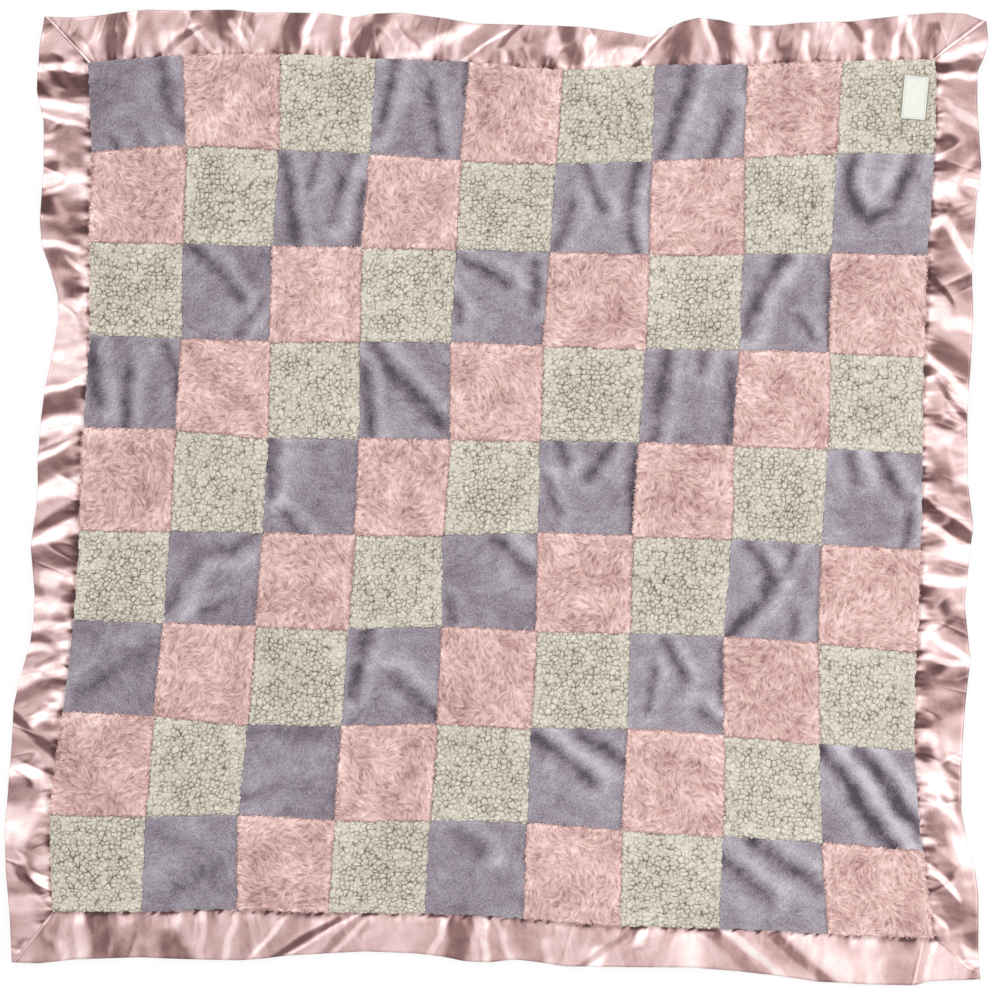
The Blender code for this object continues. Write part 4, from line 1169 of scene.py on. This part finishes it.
def softened(value, most):
    """Values kept between 0 and a most, with soft shoulders."""
    return most * 0.5 * (1 + np.tanh(2 * (value / most - 0.5)))


def bell(distance, width):
    """1 at no distance, falling to nearly 0 at twice the width."""
    return np.exp(-((distance / width) ** 2))


def seam_places(across, at_end):
    """The seam along one side of the patches, as pixels."""
    xs = [row[at_end] for row in CROSSING_X_PIXELS] if across else CROSSING_X_PIXELS[at_end]
    ys = [row[at_end] for row in CROSSING_Y_PIXELS] if across else CROSSING_Y_PIXELS[at_end]
    return list(zip(xs, ys))


def add_borders():
    """The border in nine runs, each in the place of its own solid.

    Those of the left and right side are split in other rows than their solids, so they also stand for the
    middle one.
    """
    seam = seam_places(False, 0)
    top = BorderSide(seam, TOP_EDGE_PIXELS, TOP_CREST_PIXELS, TOP_FOLDS, False, 500, pucker=0.75, notch=0.5)
    seam, folds = seam_places(False, -1), BOTTOM_FOLDS + CLOSING_FOLDS
    bottom = BorderSide(
        seam, BOTTOM_EDGE_PIXELS, BOTTOM_CREST_PIXELS, folds, False, 520, pucker=0.45, notch=1.5
    )
    left = BorderSide(seam_places(True, 0), LEFT_EDGE_PIXELS, LEFT_CREST_PIXELS, LEFT_FOLDS, True, 540)
    right = BorderSide(seam_places(True, -1), RIGHT_EDGE_PIXELS, RIGHT_CREST_PIXELS, RIGHT_FOLDS, True, 560)

    add_border("top", top, *top.ends(), (0, 1), ["top"], (1, 1))
    start, end = bottom.ends()
    join = (CLOSING_JOIN_SEAM_PIXELS, CLOSING_JOIN_EDGE_PIXELS)
    last_row = (PATCHES - 1, PATCHES)
    add_border("bottom", bottom, start, join, last_row, ["bottom"], (0.35, 0.45))
    add_border("closing", bottom, join, end, last_row, ["closing_piece"])
    for word, side in (("left", left), ("right", right)):
        start, end = side.ends()
        upper, lower = [(side.seam[row, 0], side.seam[row, 0]) for row in (UPPER_SPLIT_ROW, LOWER_SPLIT_ROW)]
        for part, run_start, run_end, rows in (
            ("upper", start, upper, (0, UPPER_SPLIT_ROW)),
            ("middle", upper, lower, (UPPER_SPLIT_ROW, LOWER_SPLIT_ROW)),
            ("lower", lower, end, (LOWER_SPLIT_ROW, PATCHES)),
        ):
            name = f"{word}_{part}"
            add_border(name, side, run_start, run_end, rows, [name, f"{word}_middle"])


# Backing and label

BACKING_GRID = 20
BACKING_GRID_ACROSS = 4


def add_backing(word, row_from, row_to):
    """Plain cloth under the patches."""
    rows = (row_to - row_from) * BACKING_GRID + 1
    down = np.linspace(row_from, row_to, rows)
    across = np.linspace(0, PATCHES, PATCHES * BACKING_GRID_ACROSS + 1)
    grid = np.zeros((rows, len(across), 2))
    for i, place in enumerate(down):
        row = min(int(place), PATCHES - 1)
        for j, other in enumerate(across):
            column = min(int(other), PATCHES - 1)
            grid[i, j] = on_patch(row, column, [place - row], [other - column])[0, 0]
    low, top = [
        np.concatenate([grid, np.full((*grid.shape[:2], 1), level)], -1) for level in (0.0, BACKING_THICK)
    ]
    piece = add_cloth(f"backing_cloth_{word}", top, low, MATERIALS["backing"])
    dress(piece, "backing", (row_from, row_to), f"backing_{word}", "backing_middle")


LABEL_GRID = (25, 41)
LABEL_HEIGHT = 0.0082
LABEL_THICK = 0.0006
LABEL_WAVE, LABEL_WAVE_SIZE = 0.0009, 0.012


def label_place(along_width, along_length):
    """A place on the label as x and y in the frame."""
    turn = math.radians(LABEL_TILT_DEGREES)
    centre = to_world(LABEL_CENTRE_PIXELS)
    x = centre[0] + along_width * math.cos(turn) - along_length * math.sin(turn)
    y = centre[1] + along_width * math.sin(turn) + along_length * math.cos(turn)
    return x, y


def label_height(x, y):
    return LABEL_HEIGHT + LABEL_WAVE * cloud(x, y, LABEL_WAVE_SIZE, 900)


def add_label():
    """A bare woven label that lies in soft waves on the sherpa."""
    wide, long = np.meshgrid(
        np.linspace(-LABEL_WIDTH / 2, LABEL_WIDTH / 2, LABEL_GRID[0]),
        np.linspace(LABEL_LENGTH / 2, -LABEL_LENGTH / 2, LABEL_GRID[1]),
        indexing="ij",
    )
    x, y = label_place(wide, long)
    height = label_height(x, y)
    top = np.stack([x, y, height + LABEL_THICK], -1)
    low = np.stack([x, y, height], -1)
    piece = add_cloth("woven_label", top, low, MATERIALS["label"])
    dress(piece, "label", (0, 1), "label")


STITCH_LENGTH = 0.0016
STITCH_GAP = 0.0006
STITCH_RADIUS = 0.00022
STITCH_INSET = 0.0013
STITCH_LIFT = 0.00025
STITCH_SINK = 0.0003
STITCH_RINGS = 7
STITCH_SIDES = 6


def add_label_stitches():
    """Small sewn stitches round the label."""
    corners = np.array([(-1, -1), (1, -1), (1, 1), (-1, 1)])
    corners = corners * (LABEL_WIDTH / 2 - STITCH_INSET, LABEL_LENGTH / 2 - STITCH_INSET)
    turns = np.arange(STITCH_SIDES) * 2 * math.pi / STITCH_SIDES
    ring, angle = np.meshgrid(np.linspace(-1, 1, STITCH_RINGS), turns, indexing="ij")
    radius = STITCH_RADIUS * np.sqrt(np.maximum(1 - np.abs(ring) ** 3, 0.04))
    stitches = []
    for start, end in zip(corners, np.roll(corners, -1, 0)):
        length = np.linalg.norm(end - start)
        along = (end - start) / length
        count = int(length / (STITCH_LENGTH + STITCH_GAP))
        for number in range(count):
            middle = start + (end - start) * (number + 0.5) / count
            centre = middle + along * ring[..., None] * STITCH_LENGTH / 2
            out = centre + np.array([-along[1], along[0]]) * (radius * np.cos(angle))[..., None]
            level = label_height(*label_place(centre[..., 0], centre[..., 1])) + LABEL_THICK
            level = level + STITCH_LIFT - STITCH_SINK * ring**2 + radius * np.sin(angle)
            stitches.append(np.stack([*label_place(out[..., 0], out[..., 1]), level], -1))
    numbers = np.arange(STITCH_RINGS * STITCH_SIDES).reshape(STITCH_RINGS, STITCH_SIDES)
    after = np.roll(numbers, -1, 1)
    walls = np.stack([numbers[:-1], after[:-1], after[1:], numbers[1:]], -1).reshape(-1, 4)
    ends = np.array([numbers[0, ::-1], numbers[-1]])
    faces = [repeated(block, len(stitches), numbers.size) for block in (walls, ends)]
    piece = add_mesh("label_stitches", np.array(stitches).reshape(-1, 3), faces, MATERIALS["label_thread"])
    dress(piece, "label", (0, 1), "label_stitching")


# Stage

CAMERA_HEIGHT = 4.0
CAMERA_LENS = 180
CAMERA_SENSOR = 36
CAMERA_REACH = 20
PHOTO_CENTRE_PIXELS = (500, 500)
FLOOR_HALF = 6.0
FLOOR_HEIGHT = -0.0002
FLOOR_WHITE_SHARE = 0.9
LAMPS = {
    "key_light": {"place": (-3.25, 3.75, 4.75), "size": 2.2, "power": 325},
    "fill_light": {"place": (1.7, -0.5, 1.9), "size": 1.4, "power": 38},
}


def add_camera():
    camera = bpy.data.cameras.new("camera")
    camera.lens = CAMERA_LENS
    camera.sensor_width = CAMERA_SENSOR
    camera.clip_end = CAMERA_REACH
    holder = bpy.data.objects.new("camera", camera)
    bpy.context.scene.collection.objects.link(holder)
    x, y = to_world(PHOTO_CENTRE_PIXELS)
    holder.location = (x, y, CAMERA_HEIGHT)
    bpy.context.scene.camera = holder


def add_floor():
    """White floor: as the camera sees it nearly all its own white, with a soft share of the real shadow."""
    points = FLOOR_HALF * np.array([(-1, -1, 0), (1, -1, 0), (1, 1, 0), (-1, 1, 0)], float)
    material, tree, shader = new_material("floor")
    shader.inputs["Base Color"].default_value = (0.85, 0.85, 0.85, 1)
    shader.inputs["Roughness"].default_value = 1.0
    shader.inputs["Specular IOR Level"].default_value = 0.0
    glow = node(tree, "Emission", {"Color": (1, 1, 1, 1), "Strength": 1.0})
    path = node(tree, "LightPath")
    seen = math_node(tree, "MAXIMUM", path.outputs["Is Camera Ray"], path.outputs["Is Glossy Ray"])
    seen = math_node(tree, "MAXIMUM", seen, path.outputs["Is Transmission Ray"])
    share = math_node(tree, "MULTIPLY", seen, FLOOR_WHITE_SHARE)
    mix = node(tree, "MixShader", {0: share, 1: shader.outputs[0], 2: glow.outputs[0]})
    tree.links.new(mix.outputs[0], tree.nodes["Material Output"].inputs["Surface"])
    floor = add_mesh("floor", points, [[[0, 1, 2, 3]]], material)
    floor.location.z = FLOOR_HEIGHT


def add_area_light(name, place, size, power):
    """A square lamp that points at the middle of the blanket."""
    light = bpy.data.lights.new(name, "AREA")
    light.shape = "SQUARE"
    light.size = size
    light.energy = power
    holder = bpy.data.objects.new(name, light)
    bpy.context.scene.collection.objects.link(holder)
    holder.location = place
    holder.rotation_euler = (-Vector(place)).to_track_quat("-Z", "Y").to_euler()


def add_world():
    """Grey room: pale above and darker towards the horizon, so satin has something to mirror."""
    world = bpy.data.worlds.new("room")
    world.use_nodes = True
    bpy.context.scene.world = world
    tree = world.node_tree
    direction = node(tree, "TexCoord").outputs["Generated"]
    up = node(tree, "SeparateXYZ", {0: direction}).outputs["Z"]
    colour = ramp(tree, up, ((0.0, (0.3, 0.3, 0.3)), (0.7, (0.34, 0.33, 0.33)), (1.0, (0.6, 0.6, 0.6))))
    tree.links.new(colour, tree.nodes["Background"].inputs["Color"])


def add_stage():
    add_camera()
    add_floor()
    add_world()
    for name, lamp in LAMPS.items():
        add_area_light(name, **lamp)
    bpy.context.scene.view_settings.view_transform = "Standard"


# Everything


def main():
    makers = {
        "purple_velour": add_velour_patch,
        "pink_plush": add_plush_patch,
        "cream_sherpa": add_sherpa_patch,
    }
    for row in range(PATCHES):
        for column in range(PATCHES):
            makers[FABRICS[(row + column) % len(FABRICS)]](row, column)
    add_borders()
    add_backing("top", 0, UPPER_SPLIT_ROW)
    add_backing("middle", UPPER_SPLIT_ROW, LOWER_SPLIT_ROW)
    add_backing("bottom", LOWER_SPLIT_ROW, PATCHES)
    add_label()
    add_label_stitches()
    add_stage()


main()
